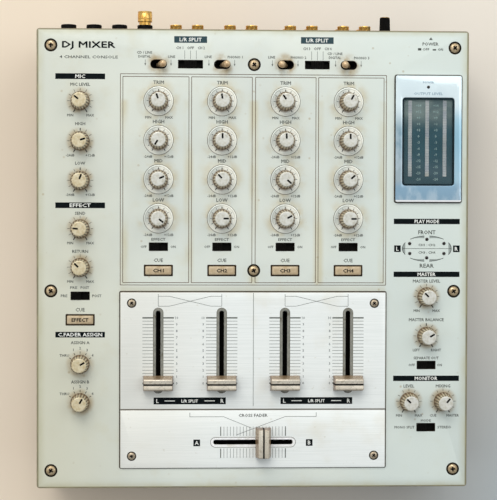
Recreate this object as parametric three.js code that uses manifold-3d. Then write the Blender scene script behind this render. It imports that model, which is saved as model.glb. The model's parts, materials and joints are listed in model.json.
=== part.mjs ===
// Four-channel DJ mixer: sheet-metal chassis, painted top panel, rotary controls,
// slide faders, slide switches, toggles, push buttons, level meter and rear connectors.
//
// Millimetres. +X right, +Y towards the rear connectors, +Z up, the bench at Z = 0.
// Positions on the panel are measured from the panel's centre.

import * as THREE from 'three';
import { mergeVertices } from 'three/addons/utils/BufferGeometryUtils.js';
import Module from 'manifold-3d';

const wasm = await Module();
wasm.setup();

// ---------------------------------------------------------------- driving dimensions

const PANEL_WIDTH = 330;
const PANEL_DEPTH = 350;
const PANEL_TOP = 92;            // top face of the panel above the bench
const PANEL_THICK = 2;
const FOOT_HEIGHT = 10;
const WALL = 1.5;                // chassis sheet
const LIP = 1;                   // the panel overhangs the chassis by this much all round
const GAP = 0.3;                 // clearance between neighbouring pieces
const REAR_REACH = 18.5;         // the longest connector stands this far behind the panel

const PLATE_THICK = 1.2;         // brushed fader plates lying on the panel
const PLATE_WIDTH = 203.4;
const PLATE_REAR_Y = -24.8;      // rear edge of the channel plate
const PLATE_SEAM_Y = -115.1;     // the two plates meet here
const PLATE_FRONT_Y = -159.8;    // front edge of the crossfader plate

const CHANNEL_PITCH = 48.4;
const EQ_PITCH = 29.8;
const TRIM_Y = 120.4;            // the rearmost row of channel knobs
const LEFT_X = -132;             // microphone, effect and assign column
const RIGHT_X = 133.2;           // meter, master and monitor column

const KNOB_BASE_R = 7.3;
const KNOB_TOP_R = 5.6;
const KNOB_HEIGHT = 14.5;        // knob top above the panel
const SHAFT_R = 3;

const FADER_TRAVEL = 50;
const FADER_TOP_Y = -44.8;       // cap centre at the loud end of the scale
const FADER_SLOT = [3.4, 59.4];
const FADER_RECESS = [8.6, 64.4];
const CROSS_Y = -140.1;
const CROSS_X = 7.7;             // cap centre of the crossfader as it stands
const CAP_BASE = [22.8, 11.8];
const CAP_TOP = [21.6, 8.2];
const CAP_HEIGHT = 11.5;

const SWITCH_SLOT = [14.6, 6.5];
const SPLIT_SLOT = [19, 6.5];
const SWITCH_Y = 9.4;            // effect on/off row
const CUE_Y = -8.7;
const CUE_CAP = [20.6, 7.2];
const CUE_FRAME = [22.2, 8.8];
const TOGGLE_Y = 148.4;
const TOGGLE_SLOT = [12.7, 7];
const TOGGLE_LEAN = 15;          // degrees each side of upright

const METER = { x: 133.85, y: 92.4, width: 51.3, depth: 97.2, height: 2.6 };
const WINDOW = { x: 133.65, y: 90.25, width: 40.1, depth: 67.3 };

const BOARD_Z = 70;              // underside of the control board
const BOARD_THICK = 1.6;
const JACK_Z = 50;               // upper row of rear connectors
const PHONO_ROWS = [50, 28];
const PHONO_X = [-59.7, -42.6, -17.1, 0, 30.6, 47.7, 72.5, 89.6];
const JACK_X = [-143.9, -124, -104, -84.1];
const GROUND_X = 105.6;
const POWER_X = 135.6;
const POWER_KEY = { width: 10, length: 16, height: 7, z: 56.5 };
const INLET = { z: 32, width: 27.6, height: 20, flange: [31, 24], recess: [24.4, 16.6] };
const PHONES = { x: 133, z: 61 };
const JACK_BOARD_Y = 150;        // the upright board that carries the rear connectors
const FOOT_AT = [138, 148];
const NOSE_R = { jack: 5.5, phono: 4.15, phones: 5.4 };
const HOLE_R = { pot: 4.2, jack: 6.1, phono: 4.9, ground: 2.6 };

// ---------------------------------------------------------------- derived values

const PANEL_UNDER = PANEL_TOP - PANEL_THICK;
const CHASSIS = { width: PANEL_WIDTH - 2 * LIP, depth: PANEL_DEPTH - 2 * LIP, top: PANEL_UNDER - GAP };
const REAR_OUT = CHASSIS.depth / 2;              // outer face of the rear wall
const REAR_IN = REAR_OUT - WALL;
const PLATE_Z = PANEL_TOP + GAP;
const PLATE_TOP = PLATE_Z + PLATE_THICK;
const BOARD_TOP = BOARD_Z + BOARD_THICK;
const CHANNEL_X = [-1.5, -0.5, 0.5, 1.5].map((step) => step * CHANNEL_PITCH);
const FADER_MID_Y = FADER_TOP_Y - FADER_TRAVEL / 2;
const POT_TOP = BOARD_TOP + 7;

// ---------------------------------------------------------------- materials

function material(color, metalness, roughness) {
  return new THREE.MeshStandardMaterial({ color, metalness, roughness });
}

const SILVER_PAINT = material('#d6dccf', 0.35, 0.45);
const BRUSHED_PLATE = material('#e2e6e0', 0.8, 0.35);
const CHASSIS_PAINT = material('#3a3c3d', 0.3, 0.5);
const KNOB_PLASTIC = material('#d5d2bf', 0.15, 0.4);
const CAP_PLASTIC = material('#c9b89a', 0.3, 0.3);
const BUTTON_PLASTIC = material('#c9b38f', 0.0, 0.5);
const BLACK_PLASTIC = material('#15130f', 0.0, 0.5);
const BEZEL_METAL = material('#b9d3de', 0.9, 0.15);
const DARK_GLASS = material('#3c5055', 0.0, 0.1);
const BRASS = material('#c6a55e', 0.95, 0.3);
const CIRCUIT_BOARD = material('#2f5a3a', 0.0, 0.6);

// ---------------------------------------------------------------- outlines

// Rectangle with rounded corners, as a closed list of points, counter-clockwise.
function roundedRect(x, y, width, depth, radius = 0, steps = 3) {
  const points = [];
  const corners = [[1, -1], [1, 1], [-1, 1], [-1, -1]];
  corners.forEach(([sx, sy], quarter) => {
    const cx = x + sx * (width / 2 - radius);
    const cy = y + sy * (depth / 2 - radius);
    const count = radius > 0 ? steps : 0;
    for (let i = 0; i <= count; i += 1) {
      const turn = ((quarter - 1) + (count ? i / count : 0)) * Math.PI / 2;
      points.push(new THREE.Vector2(cx + radius * Math.cos(turn), cy + radius * Math.sin(turn)));
    }
  });
  return points;
}

function stadium(x, y, width, depth, steps = 4) {
  const radius = Math.min(width, depth) / 2 - 0.01;
  return roundedRect(x, y, width, depth, radius, steps);
}

function circle(x, y, radius, sides = 12) {
  const points = [];
  for (let i = 0; i < sides; i += 1) {
    const turn = 2 * Math.PI * (i + 0.5) / sides;
    points.push(new THREE.Vector2(x + radius * Math.cos(turn), y + radius * Math.sin(turn)));
  }
  return points;
}

// ---------------------------------------------------------------- solids

// Merges shared corners, drops slivers that collapse to a line and turns the faces outward.
function closed(geometry) {
  geometry.deleteAttribute('normal');
  geometry.deleteAttribute('uv');
  const merged = mergeVertices(geometry, 1e-4);
  const corners = Array.from(merged.index.array);
  const kept = [];
  for (let i = 0; i < corners.length; i += 3) {
    const [a, b, c] = corners.slice(i, i + 3);
    if (a !== b && b !== c && c !== a) kept.push(a, b, c);
  }
  const at = (i) => new THREE.Vector3().fromBufferAttribute(merged.attributes.position, i);
  let volume = 0;
  for (let i = 0; i < kept.length; i += 3) {
    volume += at(kept[i]).dot(at(kept[i + 1]).cross(at(kept[i + 2])));
  }
  if (volume < 0) kept.reverse();
  merged.setIndex(kept);
  return merged;
}

function solid(geometry) {
  const shell = closed(geometry);
  return new wasm.Manifold(new wasm.Mesh({
    numProp: 3,
    vertProperties: new Float32Array(shell.attributes.position.array),
    triVerts: new Uint32Array(shell.index.array),
  }));
}

function geometryOf(body) {
  const mesh = body.getMesh();
  const geometry = new THREE.BufferGeometry();
  geometry.setAttribute('position', new THREE.BufferAttribute(mesh.vertProperties, 3));
  geometry.setIndex(new THREE.BufferAttribute(mesh.triVerts, 1));
  return geometry;
}

function prism(outline, z0, z1, holes = []) {
  const shape = new THREE.Shape(outline);
  shape.holes = holes.map((points) => new THREE.Path(points));
  const geometry = new THREE.ExtrudeGeometry(shape, { depth: z1 - z0, bevelEnabled: false });
  return geometry.translate(0, 0, z0);
}

function box(x, y, width, depth, z0, z1) {
  return solid(new THREE.BoxGeometry(width, depth, z1 - z0).translate(x, y, (z0 + z1) / 2));
}

// Turned body about Z from [radius, height] pairs that start and end on the axis.
function turned(profile, sides) {
  const points = profile.map(([r, h]) => new THREE.Vector2(r, h));
  return new THREE.LatheGeometry(points, sides).rotateX(Math.PI / 2);
}

// Cylinder along Y, for everything that passes through the front or rear wall.
function rod(x, z, radius, y0, y1, sides = 12) {
  const geometry = new THREE.CylinderGeometry(radius, radius, y1 - y0, sides);
  return solid(geometry.translate(x, (y0 + y1) / 2, z));
}

function joined(first, ...others) {
  return others.reduce((body, other) => body.add(other), first);
}

function cut(body, ...tools) {
  return tools.reduce((left, tool) => left.subtract(tool), body);
}

// ---------------------------------------------------------------- scene graph

const mixer = new THREE.Group();
mixer.position.y = -REAR_REACH / 2;

function place(name, geometry, finish, x = 0, y = 0, z = 0) {
  const mesh = new THREE.Mesh(geometry, finish);
  mesh.name = name;
  mesh.position.set(x, y, z);
  mixer.add(mesh);
  return mesh;
}

// ---------------------------------------------------------------- control layout

// Channel knobs: row name, row Y and the pointer angle of each channel, clockwise from the rear.
const EQ_ROWS = [
  ['trim', TRIM_Y, [-18, -8, -34, 30]],
  ['high', TRIM_Y - EQ_PITCH, [-148, 0, 0, 0]],
  ['mid', TRIM_Y - 2 * EQ_PITCH, [67, -42, 131, 49]],
  ['low', TRIM_Y - 3 * EQ_PITCH, [128, 90, 62, 90]],
];

// The other knobs: name, X, Y, pointer angle.
const SIDE_KNOBS = [
  ['mic_level', LEFT_X, 120, -51],
  ['mic_high', LEFT_X, 89.6, 74],
  ['mic_low', LEFT_X, 59.6, 21],
  ['effect_send', LEFT_X, 22.9, -85],
  ['effect_return', LEFT_X, -6.4, -45],
  ['assign_a', LEFT_X, -80.1, 60],
  ['assign_b', LEFT_X, -109.4, 30],
  ['master_level', RIGHT_X, -28.6, -45],
  ['master_balance', RIGHT_X, -58.9, 59],
  ['monitor_level', RIGHT_X - 13.2, -109.3, -46],
  ['monitor_mixing', RIGHT_X + 13.2, -109.3, 40],
];

const KNOBS = [
  ...EQ_ROWS.flatMap(([row, y, angles]) => angles.map((angle, i) => (
    [`ch${i + 1}_${row}`, CHANNEL_X[i], y, angle]))),
  ...SIDE_KNOBS,
];

// Slide switches: name, X, Y, slot size and where the slider rests.
const SWITCHES = [
  ...CHANNEL_X.map((x, i) => [`switch_effect_ch${i + 1}`, x, SWITCH_Y, SWITCH_SLOT, 'left']),
  ['switch_split_left', -CHANNEL_PITCH, TOGGLE_Y, SPLIT_SLOT, 'middle'],
  ['switch_split_right', CHANNEL_PITCH, TOGGLE_Y, SPLIT_SLOT, 'middle'],
  ['switch_pre_post', LEFT_X, -28.1, SWITCH_SLOT, 'left'],
  ['switch_separate_out', RIGHT_X, -81.2, SWITCH_SLOT, 'left'],
  ['switch_monitor_mode', RIGHT_X, -129.2, SWITCH_SLOT, 'left'],
];

// Push buttons: name, X, Y.
const CUES = [
  ...CHANNEL_X.map((x, i) => [`cue_ch${i + 1}`, x, CUE_Y]),
  ['cue_effect', LEFT_X, -46.4],
];

// Toggles: name, X and the side the lever leans to.
const TOGGLES = CHANNEL_X.map((x, i) => [`toggle_ch${i + 1}`, x, i < 2 ? 1 : -1]);

// ---------------------------------------------------------------- case

function foot(x, y) {
  const top = FOOT_HEIGHT + 0.5;
  return solid(turned([[0, 0], [11, 0], [13, 8], [13, top], [0, top]], 16).translate(x, y, 0));
}

function bottomVents() {
  const slots = [];
  for (const side of [-1, 1]) {
    for (let i = 0; i < 7; i += 1) {
      slots.push(box(side * 70 + (i - 3) * 9, 20, 3, 60, FOOT_HEIGHT - 1, FOOT_HEIGHT + WALL + 1));
    }
  }
  return slots;
}

function rearOpening(z, width, height) {
  return box(POWER_X, REAR_OUT, width, 6, z - height / 2, z + height / 2);
}

function rearHoles() {
  const through = [REAR_IN - 2, REAR_OUT + 2];
  const holes = JACK_X.map((x) => rod(x, JACK_Z, HOLE_R.jack, ...through));
  for (const z of PHONO_ROWS) {
    holes.push(...PHONO_X.map((x) => rod(x, z, HOLE_R.phono, ...through)));
  }
  holes.push(rod(GROUND_X, JACK_Z, HOLE_R.ground, ...through));
  holes.push(rearOpening(INLET.z, INLET.width + 1, INLET.height + 1));
  holes.push(rearOpening(POWER_KEY.z, POWER_KEY.width + 1.4, POWER_KEY.height + 1.4));
  return holes;
}

// Open pan: floor and four walls, with the feet on its underside.
function chassis() {
  const { width, depth, top } = CHASSIS;
  const block = solid(prism(roundedRect(0, 0, width, depth, 2), FOOT_HEIGHT, top));
  const inside = box(0, 0, width - 2 * WALL, depth - 2 * WALL, FOOT_HEIGHT + WALL, top + 1);
  const phonesHole = rod(PHONES.x, PHONES.z, HOLE_R.jack, -REAR_OUT - 2, -REAR_IN + 2);
  const pan = cut(block, inside, phonesHole, ...rearHoles(), ...bottomVents());
  const feet = [[-1, -1], [1, -1], [-1, 1], [1, 1]].map(([sx, sy]) => (
    foot(sx * FOOT_AT[0], sy * FOOT_AT[1])));
  return geometryOf(joined(pan, ...feet));
}

function topPanel() {
  const holes = KNOBS.map(([, x, y]) => circle(x, y, HOLE_R.pot));
  holes.push(...SWITCHES.map(([, x, y, slot]) => roundedRect(x, y, ...slot)));
  holes.push(...CUES.map(([, x, y]) => roundedRect(x, y, ...CUE_FRAME)));
  holes.push(...TOGGLES.map(([, x]) => stadium(x, TOGGLE_Y, ...TOGGLE_SLOT)));
  holes.push(...CHANNEL_X.map((x) => roundedRect(x, FADER_MID_Y, 5, FADER_SLOT[1] + 1)));
  holes.push(roundedRect(0, CROSS_Y, FADER_SLOT[1] + 1, 5));
  holes.push(roundedRect(WINDOW.x, WINDOW.y, WINDOW.width - 2, WINDOW.depth - 2));
  const sheet = solid(prism(roundedRect(0, 0, PANEL_WIDTH, PANEL_DEPTH, 2), PANEL_UNDER, PANEL_TOP));
  const tools = holes.map((points) => solid(prism(points, PANEL_UNDER - 1, PANEL_TOP + 1)));
  return geometryOf(cut(sheet, ...tools));
}

// A fader plate with a stepped recess round each slot. slots: [x, y, width, depth] lists.
function faderPlate(rearY, frontY, slots, recesses) {
  const depth = rearY - frontY - GAP;
  const outline = roundedRect(0, (rearY + frontY) / 2, PLATE_WIDTH, depth, 1);
  const plate = solid(prism(outline, PLATE_Z, PLATE_TOP, slots.map((slot) => stadium(...slot))));
  const pockets = recesses.map((slot) => solid(prism(stadium(...slot), PLATE_TOP - 0.5, PLATE_TOP + 1)));
  return geometryOf(cut(plate, ...pockets));
}

function channelPlate() {
  const slots = CHANNEL_X.map((x) => [x, FADER_MID_Y, ...FADER_SLOT]);
  const recesses = CHANNEL_X.map((x) => [x, FADER_MID_Y, ...FADER_RECESS]);
  return faderPlate(PLATE_REAR_Y, PLATE_SEAM_Y, slots, recesses);
}

function crossPlate() {
  const [width, length] = FADER_SLOT;
  const [recessWidth, recessLength] = FADER_RECESS;
  const slots = [[0, CROSS_Y, length, width]];
  const recesses = [[0, CROSS_Y, recessLength, recessWidth]];
  return faderPlate(PLATE_SEAM_Y, PLATE_FRONT_Y, slots, recesses);
}

function meterBezel() {
  const outline = roundedRect(METER.x, METER.y, METER.width, METER.depth, 1.5);
  const opening = roundedRect(WINDOW.x, WINDOW.y, WINDOW.width, WINDOW.depth, 1.5);
  return closed(prism(outline, PLATE_Z, PLATE_Z + METER.height, [opening]));
}

function meterWindow() {
  const { x, y, width, depth } = WINDOW;
  const outline = roundedRect(x, y, width - 2 * GAP, depth - 2 * GAP, 1.2);
  return closed(prism(outline, PLATE_Z + 0.5, PLATE_Z + 2.1));
}

place('chassis', chassis(), CHASSIS_PAINT);
place('top_panel', topPanel(), SILVER_PAINT);
place('channel_fader_plate', channelPlate(), BRUSHED_PLATE);
place('crossfader_plate', crossPlate(), BRUSHED_PLATE);
place('meter_bezel', meterBezel(), BEZEL_METAL);
place('meter_window', meterWindow(), DARK_GLASS);

// ---------------------------------------------------------------- boards and connectors

const SWITCH_BODY_TOP = PANEL_UNDER - 2;
const TOGGLE_PIVOT = PANEL_TOP - 7;
const FADER_BODY_TOP = PANEL_UNDER - 0.5;

function bodyOnBoard(x, y, width, depth, top) {
  return box(x, y, width, depth, BOARD_TOP - 0.5, top);
}

// Slide potentiometer: a long body with an open track for the lever's blade.
function faderBody(x, y, across) {
  const size = across ? [72, 11] : [11, 72];
  const track = across ? [61, 4.4] : [4.4, 61];
  const body = bodyOnBoard(x, y, ...size, FADER_BODY_TOP);
  return cut(body, box(x, y, ...track, FADER_BODY_TOP - 9, FADER_BODY_TOP + 1));
}

// Headphone socket hung under the front edge of the board, its nose through the front wall.
function phonesSocket() {
  const { x, z } = PHONES;
  const backY = -REAR_IN + 0.3;
  const body = box(x, backY + 13, 16, 26, z - 8, BOARD_Z + 0.5);
  const nose = rod(x, z, NOSE_R.phones, -REAR_OUT - 0.8, backY + 1, 16);
  return cut(joined(body, nose), rod(x, z, 3.3, -REAR_OUT - 2, backY + 24));
}

function controlBoard() {
  const board = box(0, 0, 312, 328, BOARD_Z, BOARD_TOP);
  const pieces = KNOBS.map(([, x, y]) => bodyOnBoard(x, y, 11, 11, POT_TOP));
  pieces.push(...SWITCHES.map(([, x, y, slot]) => bodyOnBoard(x, y, slot[0] + 3, 8.5, SWITCH_BODY_TOP)));
  pieces.push(...CUES.map(([, x, y]) => bodyOnBoard(x, y, 8, 8, BOARD_TOP + 5)));
  pieces.push(...TOGGLES.map(([, x]) => bodyOnBoard(x, TOGGLE_Y, 13, 9, TOGGLE_PIVOT - 2.5)));
  pieces.push(...CHANNEL_X.map((x) => faderBody(x, FADER_MID_Y, false)));
  pieces.push(faderBody(0, CROSS_Y, true));
  pieces.push(bodyOnBoard(WINDOW.x, WINDOW.y, WINDOW.width - 4, WINDOW.depth - 4, PANEL_TOP + 0.2));
  return geometryOf(joined(board, ...pieces, phonesSocket()));
}

// Square socket housing between the connector board and the rear wall.
function housing(x, z, size) {
  const depth = REAR_IN - GAP - JACK_BOARD_Y;
  return box(x, JACK_BOARD_Y + depth / 2, size, depth, z - size / 2, z + size / 2);
}

function phonoSocket(x, z) {
  const barrel = rod(x, z, NOSE_R.phono, REAR_IN - 1, REAR_OUT + 9);
  return cut(joined(housing(x, z, 13), barrel), rod(x, z, 1.7, REAR_OUT + 2, REAR_OUT + 10, 6));
}

function jackSocket(x) {
  return joined(housing(x, JACK_Z, 16), rod(x, JACK_Z, NOSE_R.jack, REAR_IN - 1, REAR_OUT + 8.6, 16));
}

function jackBore(x) {
  return rod(x, JACK_Z, 3.3, JACK_BOARD_Y + 3, REAR_OUT + 10);
}

// Turned body about Y, from [radius, distance behind the rear wall] pairs.
function turnedRearward(x, profile, sides) {
  return solid(turned(profile, sides).rotateX(-Math.PI / 2).translate(x, REAR_OUT, JACK_Z));
}

// Adapter plug left in the last jack: a neck and a wider barrel with a small socket.
function adapterPlug(x) {
  const reach = LIP + REAR_REACH;
  const profile = [[0, 5], [4.2, 5], [4.2, 11.4], [5.5, 11.4], [5.5, reach], [0, reach]];
  const barrel = turnedRearward(x, profile, 16);
  return cut(barrel, rod(x, JACK_Z, 1.9, REAR_OUT + 11, REAR_OUT + 30, 6));
}

function groundTerminal(x) {
  const post = rod(x, JACK_Z, 2, JACK_BOARD_Y, REAR_OUT + 4, 8);
  return joined(post, turnedRearward(x, [[0, 1], [4.2, 1], [3.7, 16.5], [0, 16.5]], 12));
}

function jackBoard() {
  const board = box(-20, JACK_BOARD_Y, 268, 1.6, 16, 64);
  const sockets = JACK_X.map((x) => jackSocket(x));
  for (const z of PHONO_ROWS) {
    sockets.push(...PHONO_X.map((x) => phonoSocket(x, z)));
  }
  const bores = JACK_X.slice(0, -1).map((x) => jackBore(x));
  const adapter = adapterPlug(JACK_X[JACK_X.length - 1]);
  return geometryOf(joined(cut(joined(board, ...sockets), ...bores), adapter, groundTerminal(GROUND_X)));
}

// Block of the mains inlet, centred on its axis.
function powerBlock(width, height, y0, y1) {
  const { z } = INLET;
  return box(POWER_X, (y0 + y1) / 2, width, y1 - y0, z - height / 2, z + height / 2);
}

// Mains inlet and the body of the power switch on one small board.
function powerModule() {
  const board = box(POWER_X, JACK_BOARD_Y, 34, 1.6, 16, 66);
  const body = powerBlock(INLET.width, INLET.height, JACK_BOARD_Y, REAR_OUT + 2);
  const flange = powerBlock(...INLET.flange, REAR_OUT + GAP, REAR_OUT + GAP + 2);
  const recess = powerBlock(...INLET.recess, REAR_OUT - 12.6, REAR_OUT + 3.4);
  const pins = [[-7, -2], [7, -2], [0, 3]].map(([dx, dz]) => (
    powerBlock(2, 4, REAR_OUT - 14, REAR_OUT - 4).translate(dx, 0, dz)));
  const switchBody = box(POWER_X, JACK_BOARD_Y + 3, 12, 6, 51, 62);
  return geometryOf(joined(cut(joined(body, flange), recess), board, switchBody, ...pins));
}

place('control_board', controlBoard(), CIRCUIT_BOARD);
place('jack_board', jackBoard(), CIRCUIT_BOARD);
place('power_module', powerModule(), BLACK_PLASTIC);

// ---------------------------------------------------------------- moving controls

// Knob and shaft in one piece; the pointer is a groove in the top that aims at +Y.
function knob() {
  const top = KNOB_HEIGHT;
  const shaftEnd = POT_TOP + 0.4 - PANEL_TOP;
  const profile = [
    [0, shaftEnd], [SHAFT_R, shaftEnd], [SHAFT_R, 1.2],
    [KNOB_BASE_R, 1.2], [KNOB_BASE_R, 2.8], [KNOB_TOP_R, top], [0, top],
  ];
  const groove = box(0, KNOB_TOP_R * 0.6, 1, KNOB_TOP_R * 0.5, top - 0.3, top + 1);
  return geometryOf(cut(solid(turned(profile, 14)), groove));
}

const KNOB = knob();
for (const [name, x, y, angle] of KNOBS) {
  const mesh = place(`knob_${name}`, KNOB, KNOB_PLASTIC, x, y, PANEL_TOP);
  mesh.rotation.z = -THREE.MathUtils.degToRad(angle);
}

// Wedge-sided cap on a thin blade that reaches down into the fader's track.
function faderCap(across) {
  const [baseX, baseY] = CAP_BASE;
  const [topX, topY] = CAP_TOP;
  const cap = new THREE.BoxGeometry(baseX, baseY, CAP_HEIGHT);
  const corners = cap.attributes.position;
  for (let i = 0; i < corners.count; i += 1) {
    if (corners.getZ(i) > 0) {
      corners.setX(i, Math.sign(corners.getX(i)) * topX / 2);
      corners.setY(i, Math.sign(corners.getY(i)) * topY / 2);
    }
  }
  const floor = PLATE_TOP + 0.8;
  const body = solid(cap.translate(0, 0, floor + CAP_HEIGHT / 2));
  const blade = box(0, 0, 1.2, 4.5, FADER_BODY_TOP - 6, floor + 2);
  const geometry = geometryOf(joined(body, blade));
  return across ? geometry.rotateZ(Math.PI / 2) : geometry;
}

const CHANNEL_CAP = faderCap(false);
CHANNEL_X.forEach((x, i) => {
  place(`fader_ch${i + 1}`, CHANNEL_CAP, CAP_PLASTIC, x, FADER_TOP_Y - FADER_TRAVEL);
});
place('crossfader', faderCap(true), CAP_PLASTIC, CROSS_X, CROSS_Y);

// Slider of a slide switch: a short block that stands just proud of the panel.
function slider([slotWidth, slotDepth]) {
  const width = slotWidth / 2;
  return geometryOf(box(0, 0, width, slotDepth - 0.8, SWITCH_BODY_TOP + GAP, PANEL_TOP + 0.8));
}

for (const [name, x, y, slot, rest] of SWITCHES) {
  const side = rest === 'left' ? -1 : 0;
  const offset = side * (slot[0] / 4 - 0.4);
  place(name, slider(slot), BLACK_PLASTIC, x + offset, y);
}

function cueButton() {
  const cap = box(0, 0, ...CUE_CAP, PANEL_TOP - 5, PANEL_TOP + 1.6);
  return geometryOf(joined(cap, box(0, 0, 4, 4, BOARD_TOP + 6.2, PANEL_TOP - 4)));
}

const CUE = cueButton();
for (const [name, x, y] of CUES) {
  place(name, CUE, BUTTON_PLASTIC, x, y);
}

// Bat lever on a ball that sits in the switch body, pivot at the ball's centre.
function toggleLever() {
  const profile = [[0, -2], [1.6, -1.2], [2, 0], [1.3, 1.6], [1.5, 7], [2.3, 13.2], [1.6, 15], [0, 15.6]];
  return closed(turned(profile, 12));
}

const LEVER = toggleLever();
for (const [name, x, side] of TOGGLES) {
  const mesh = place(name, LEVER, BRASS, x, TOGGLE_Y, TOGGLE_PIVOT);
  mesh.rotation.y = side * THREE.MathUtils.degToRad(TOGGLE_LEAN);
}

// Push button of the power switch, pressed towards -Y.
function powerButton() {
  const { width, length, height, z } = POWER_KEY;
  const outerY = REAR_OUT + 3;
  return geometryOf(box(POWER_X, outerY - length / 2, width, length, z - height / 2, z + height / 2));
}

place('power_button', powerButton(), BLACK_PLASTIC);

export default mixer;
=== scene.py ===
# Four-channel DJ mixer: the finished look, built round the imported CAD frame.
#
# Panel coordinates are millimetres from the centre of the top panel: +x right,
# +y towards the rear connectors, +z up, with z = 0 on the panel's top face.

import json
import math
import random
from functools import reduce

import bmesh
import bpy
from mathutils import Matrix, Vector

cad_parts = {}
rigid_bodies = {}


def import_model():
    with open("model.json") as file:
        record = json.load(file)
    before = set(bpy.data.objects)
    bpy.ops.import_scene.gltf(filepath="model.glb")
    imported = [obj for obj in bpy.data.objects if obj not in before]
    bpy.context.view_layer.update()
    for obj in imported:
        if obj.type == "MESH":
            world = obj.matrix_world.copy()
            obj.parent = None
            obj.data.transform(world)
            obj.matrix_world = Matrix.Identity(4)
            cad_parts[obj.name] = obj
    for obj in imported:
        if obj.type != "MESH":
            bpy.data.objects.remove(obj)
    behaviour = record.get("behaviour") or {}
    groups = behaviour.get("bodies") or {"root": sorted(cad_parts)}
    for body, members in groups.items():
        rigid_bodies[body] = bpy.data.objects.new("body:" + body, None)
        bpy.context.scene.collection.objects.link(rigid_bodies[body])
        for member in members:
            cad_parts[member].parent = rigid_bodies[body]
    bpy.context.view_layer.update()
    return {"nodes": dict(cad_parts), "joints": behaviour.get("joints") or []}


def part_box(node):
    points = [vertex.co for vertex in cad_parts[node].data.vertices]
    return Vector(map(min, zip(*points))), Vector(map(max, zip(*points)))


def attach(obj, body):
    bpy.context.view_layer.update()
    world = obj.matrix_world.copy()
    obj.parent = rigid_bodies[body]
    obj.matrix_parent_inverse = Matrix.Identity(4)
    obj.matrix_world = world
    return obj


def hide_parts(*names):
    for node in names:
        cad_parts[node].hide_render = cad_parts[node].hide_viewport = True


for leftover in list(bpy.data.objects):
    bpy.data.objects.remove(leftover)

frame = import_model()
JOINTS = {joint["child"]: joint for joint in frame["joints"]}
SCENE = bpy.context.scene
SCENE.view_settings.view_transform = "Standard"
random.seed(7)

# ---- dimensions

MM = 0.001
PANEL_LOW, PANEL_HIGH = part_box("top_panel")
CENTRE = Vector(((PANEL_LOW.x + PANEL_HIGH.x) / 2, (PANEL_LOW.y + PANEL_HIGH.y) / 2, PANEL_HIGH.z))
BENCH = -PANEL_HIGH.z / MM


def extent(node):
    """Lowest and highest corner of a CAD node in panel coordinates."""
    low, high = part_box(node)
    return (low - CENTRE) / MM, (high - CENTRE) / MM


def plan(node):
    """Centre x and y, width and depth of a CAD node seen from above."""
    low, high = extent(node)
    return (low.x + high.x) / 2, (low.y + high.y) / 2, high.x - low.x, high.y - low.y


def middle(node):
    return plan(node)[:2]


def named(prefix):
    return sorted(name for name in frame["nodes"] if name.startswith(prefix))


CHANNELS = (1, 2, 3, 4)
EQ_ROWS = ("trim", "high", "mid", "low")
CHANNEL_KNOBS = [f"knob_ch{i}_{row}" for row in EQ_ROWS for i in CHANNELS]
KNOBS, SWITCHES, CUES = named("knob_"), named("switch_"), named("cue_")
TOGGLES, FADERS = named("toggle_"), named("fader_")
SIDE_KNOBS = [name for name in KNOBS if name not in CHANNEL_KNOBS]
CHANNEL_X = [middle(f"knob_ch{i}_trim")[0] for i in CHANNELS]
LEFT_X = middle("knob_mic_level")[0]
RIGHT_X = middle("knob_master_level")[0]
TOGGLE_Y = middle("toggle_ch1")[1]
SPLIT_X = middle("switch_split_right")[0]
SIDE_X = extent("chassis")[1].x
REAR_Y = extent("chassis")[1].y
PLATE_SEAM_Y = extent("channel_fader_plate")[0].y
PLATE_REAR_Y = extent("channel_fader_plate")[1].y
PLATE_TOP = extent("channel_fader_plate")[1].z
PLATE_FRONT_Y = extent("crossfader_plate")[0].y
BEZEL, PANE = plan("meter_bezel"), plan("meter_window")
BEZEL_LOW, BEZEL_HIGH = extent("meter_bezel")
PANE_TOP = extent("meter_window")[1].z

PRINT = 0.05                     # height of printed lettering above its surface
GROOVE = 0.5                     # width of an engraved line
CELL_X = ((-99.7, -49.5), (-47.5, -1.25), (1.25, 47.5), (49.5, 99.7))
METER_HOLE = (133.65, 90.25, 38.1, 65.3)
METER_BAR_X = (119.7, 132.9, 146.4)
SEGMENT_COUNT, SEGMENT_PITCH, SEGMENT_TOP_Y = 30, 1.94, 120.9
METER_FIGURE_X = (126.3, 139.6)
FIGURE_PITCH, FIGURE_TOP_Y = 4.7, 118.0
DISC_R = 11.1                    # bright dial disc round each channel knob
DISC_GAP = 0.35
CHANNEL_SWEEP = 296              # degrees between the end marks of a dial
SIDE_SWEEP = 297
AGED_X = -100                    # knobs left of this line are yellower
KNOB_HOLE_R = 4.2
KNOB_FLUTES = 18
TERMINAL_FLUTES = 24
SPLIT_HOLE = (19.0, 6.5)         # width and depth of each opening in the panel
SWITCH_HOLE = (14.6, 6.5)
SWITCH_SHIFT = 3.25              # two-way switches rest left of the middle of their openings
CUE_HOLE = (22.2, 8.8)
TOGGLE_HOLE = (12.7, 7)
FADER_HOLE = (5, 60.4)
SLOT_RECESS = (7.3, 64.9)
SLOT_OPENING = (3.6, 60.9)
CHANNEL_SLOT_Y = -69.8
CROSS_SLOT_Y = -140.1
SCREW_R = 3.75
SCREW_WELL_R = 5.0
PLATE_SCREW_R = 2.9
PANEL_SCREWS = [(sx * 154.2, y) for sx in (-1, 1) for y in (162.2, -24.4, -161.5)]
PANEL_SCREWS += [(0.2, 148.4), (0.2, -8.7)]
PLATE_SCREWS = [(sx * 92.8, y) for sx in (-1, 1) for y in (-33.6, -150.5)]
LAMPS = [(133.3, 15.5), (120.0, 12.2), (146.5, 12.3), (120.1, 4.6), (146.5, 4.6), (133.2, 1.3)]
FEET = [(sx * 138, sy * 148) for sy in (-1, 1) for sx in (-1, 1)]
JACK_X = (-143.9, -124.0, -104.0, -84.1)
PHONO_X = (-59.7, -42.6, -17.1, 0.0, 30.6, 47.7, 72.5, 89.6)
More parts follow.
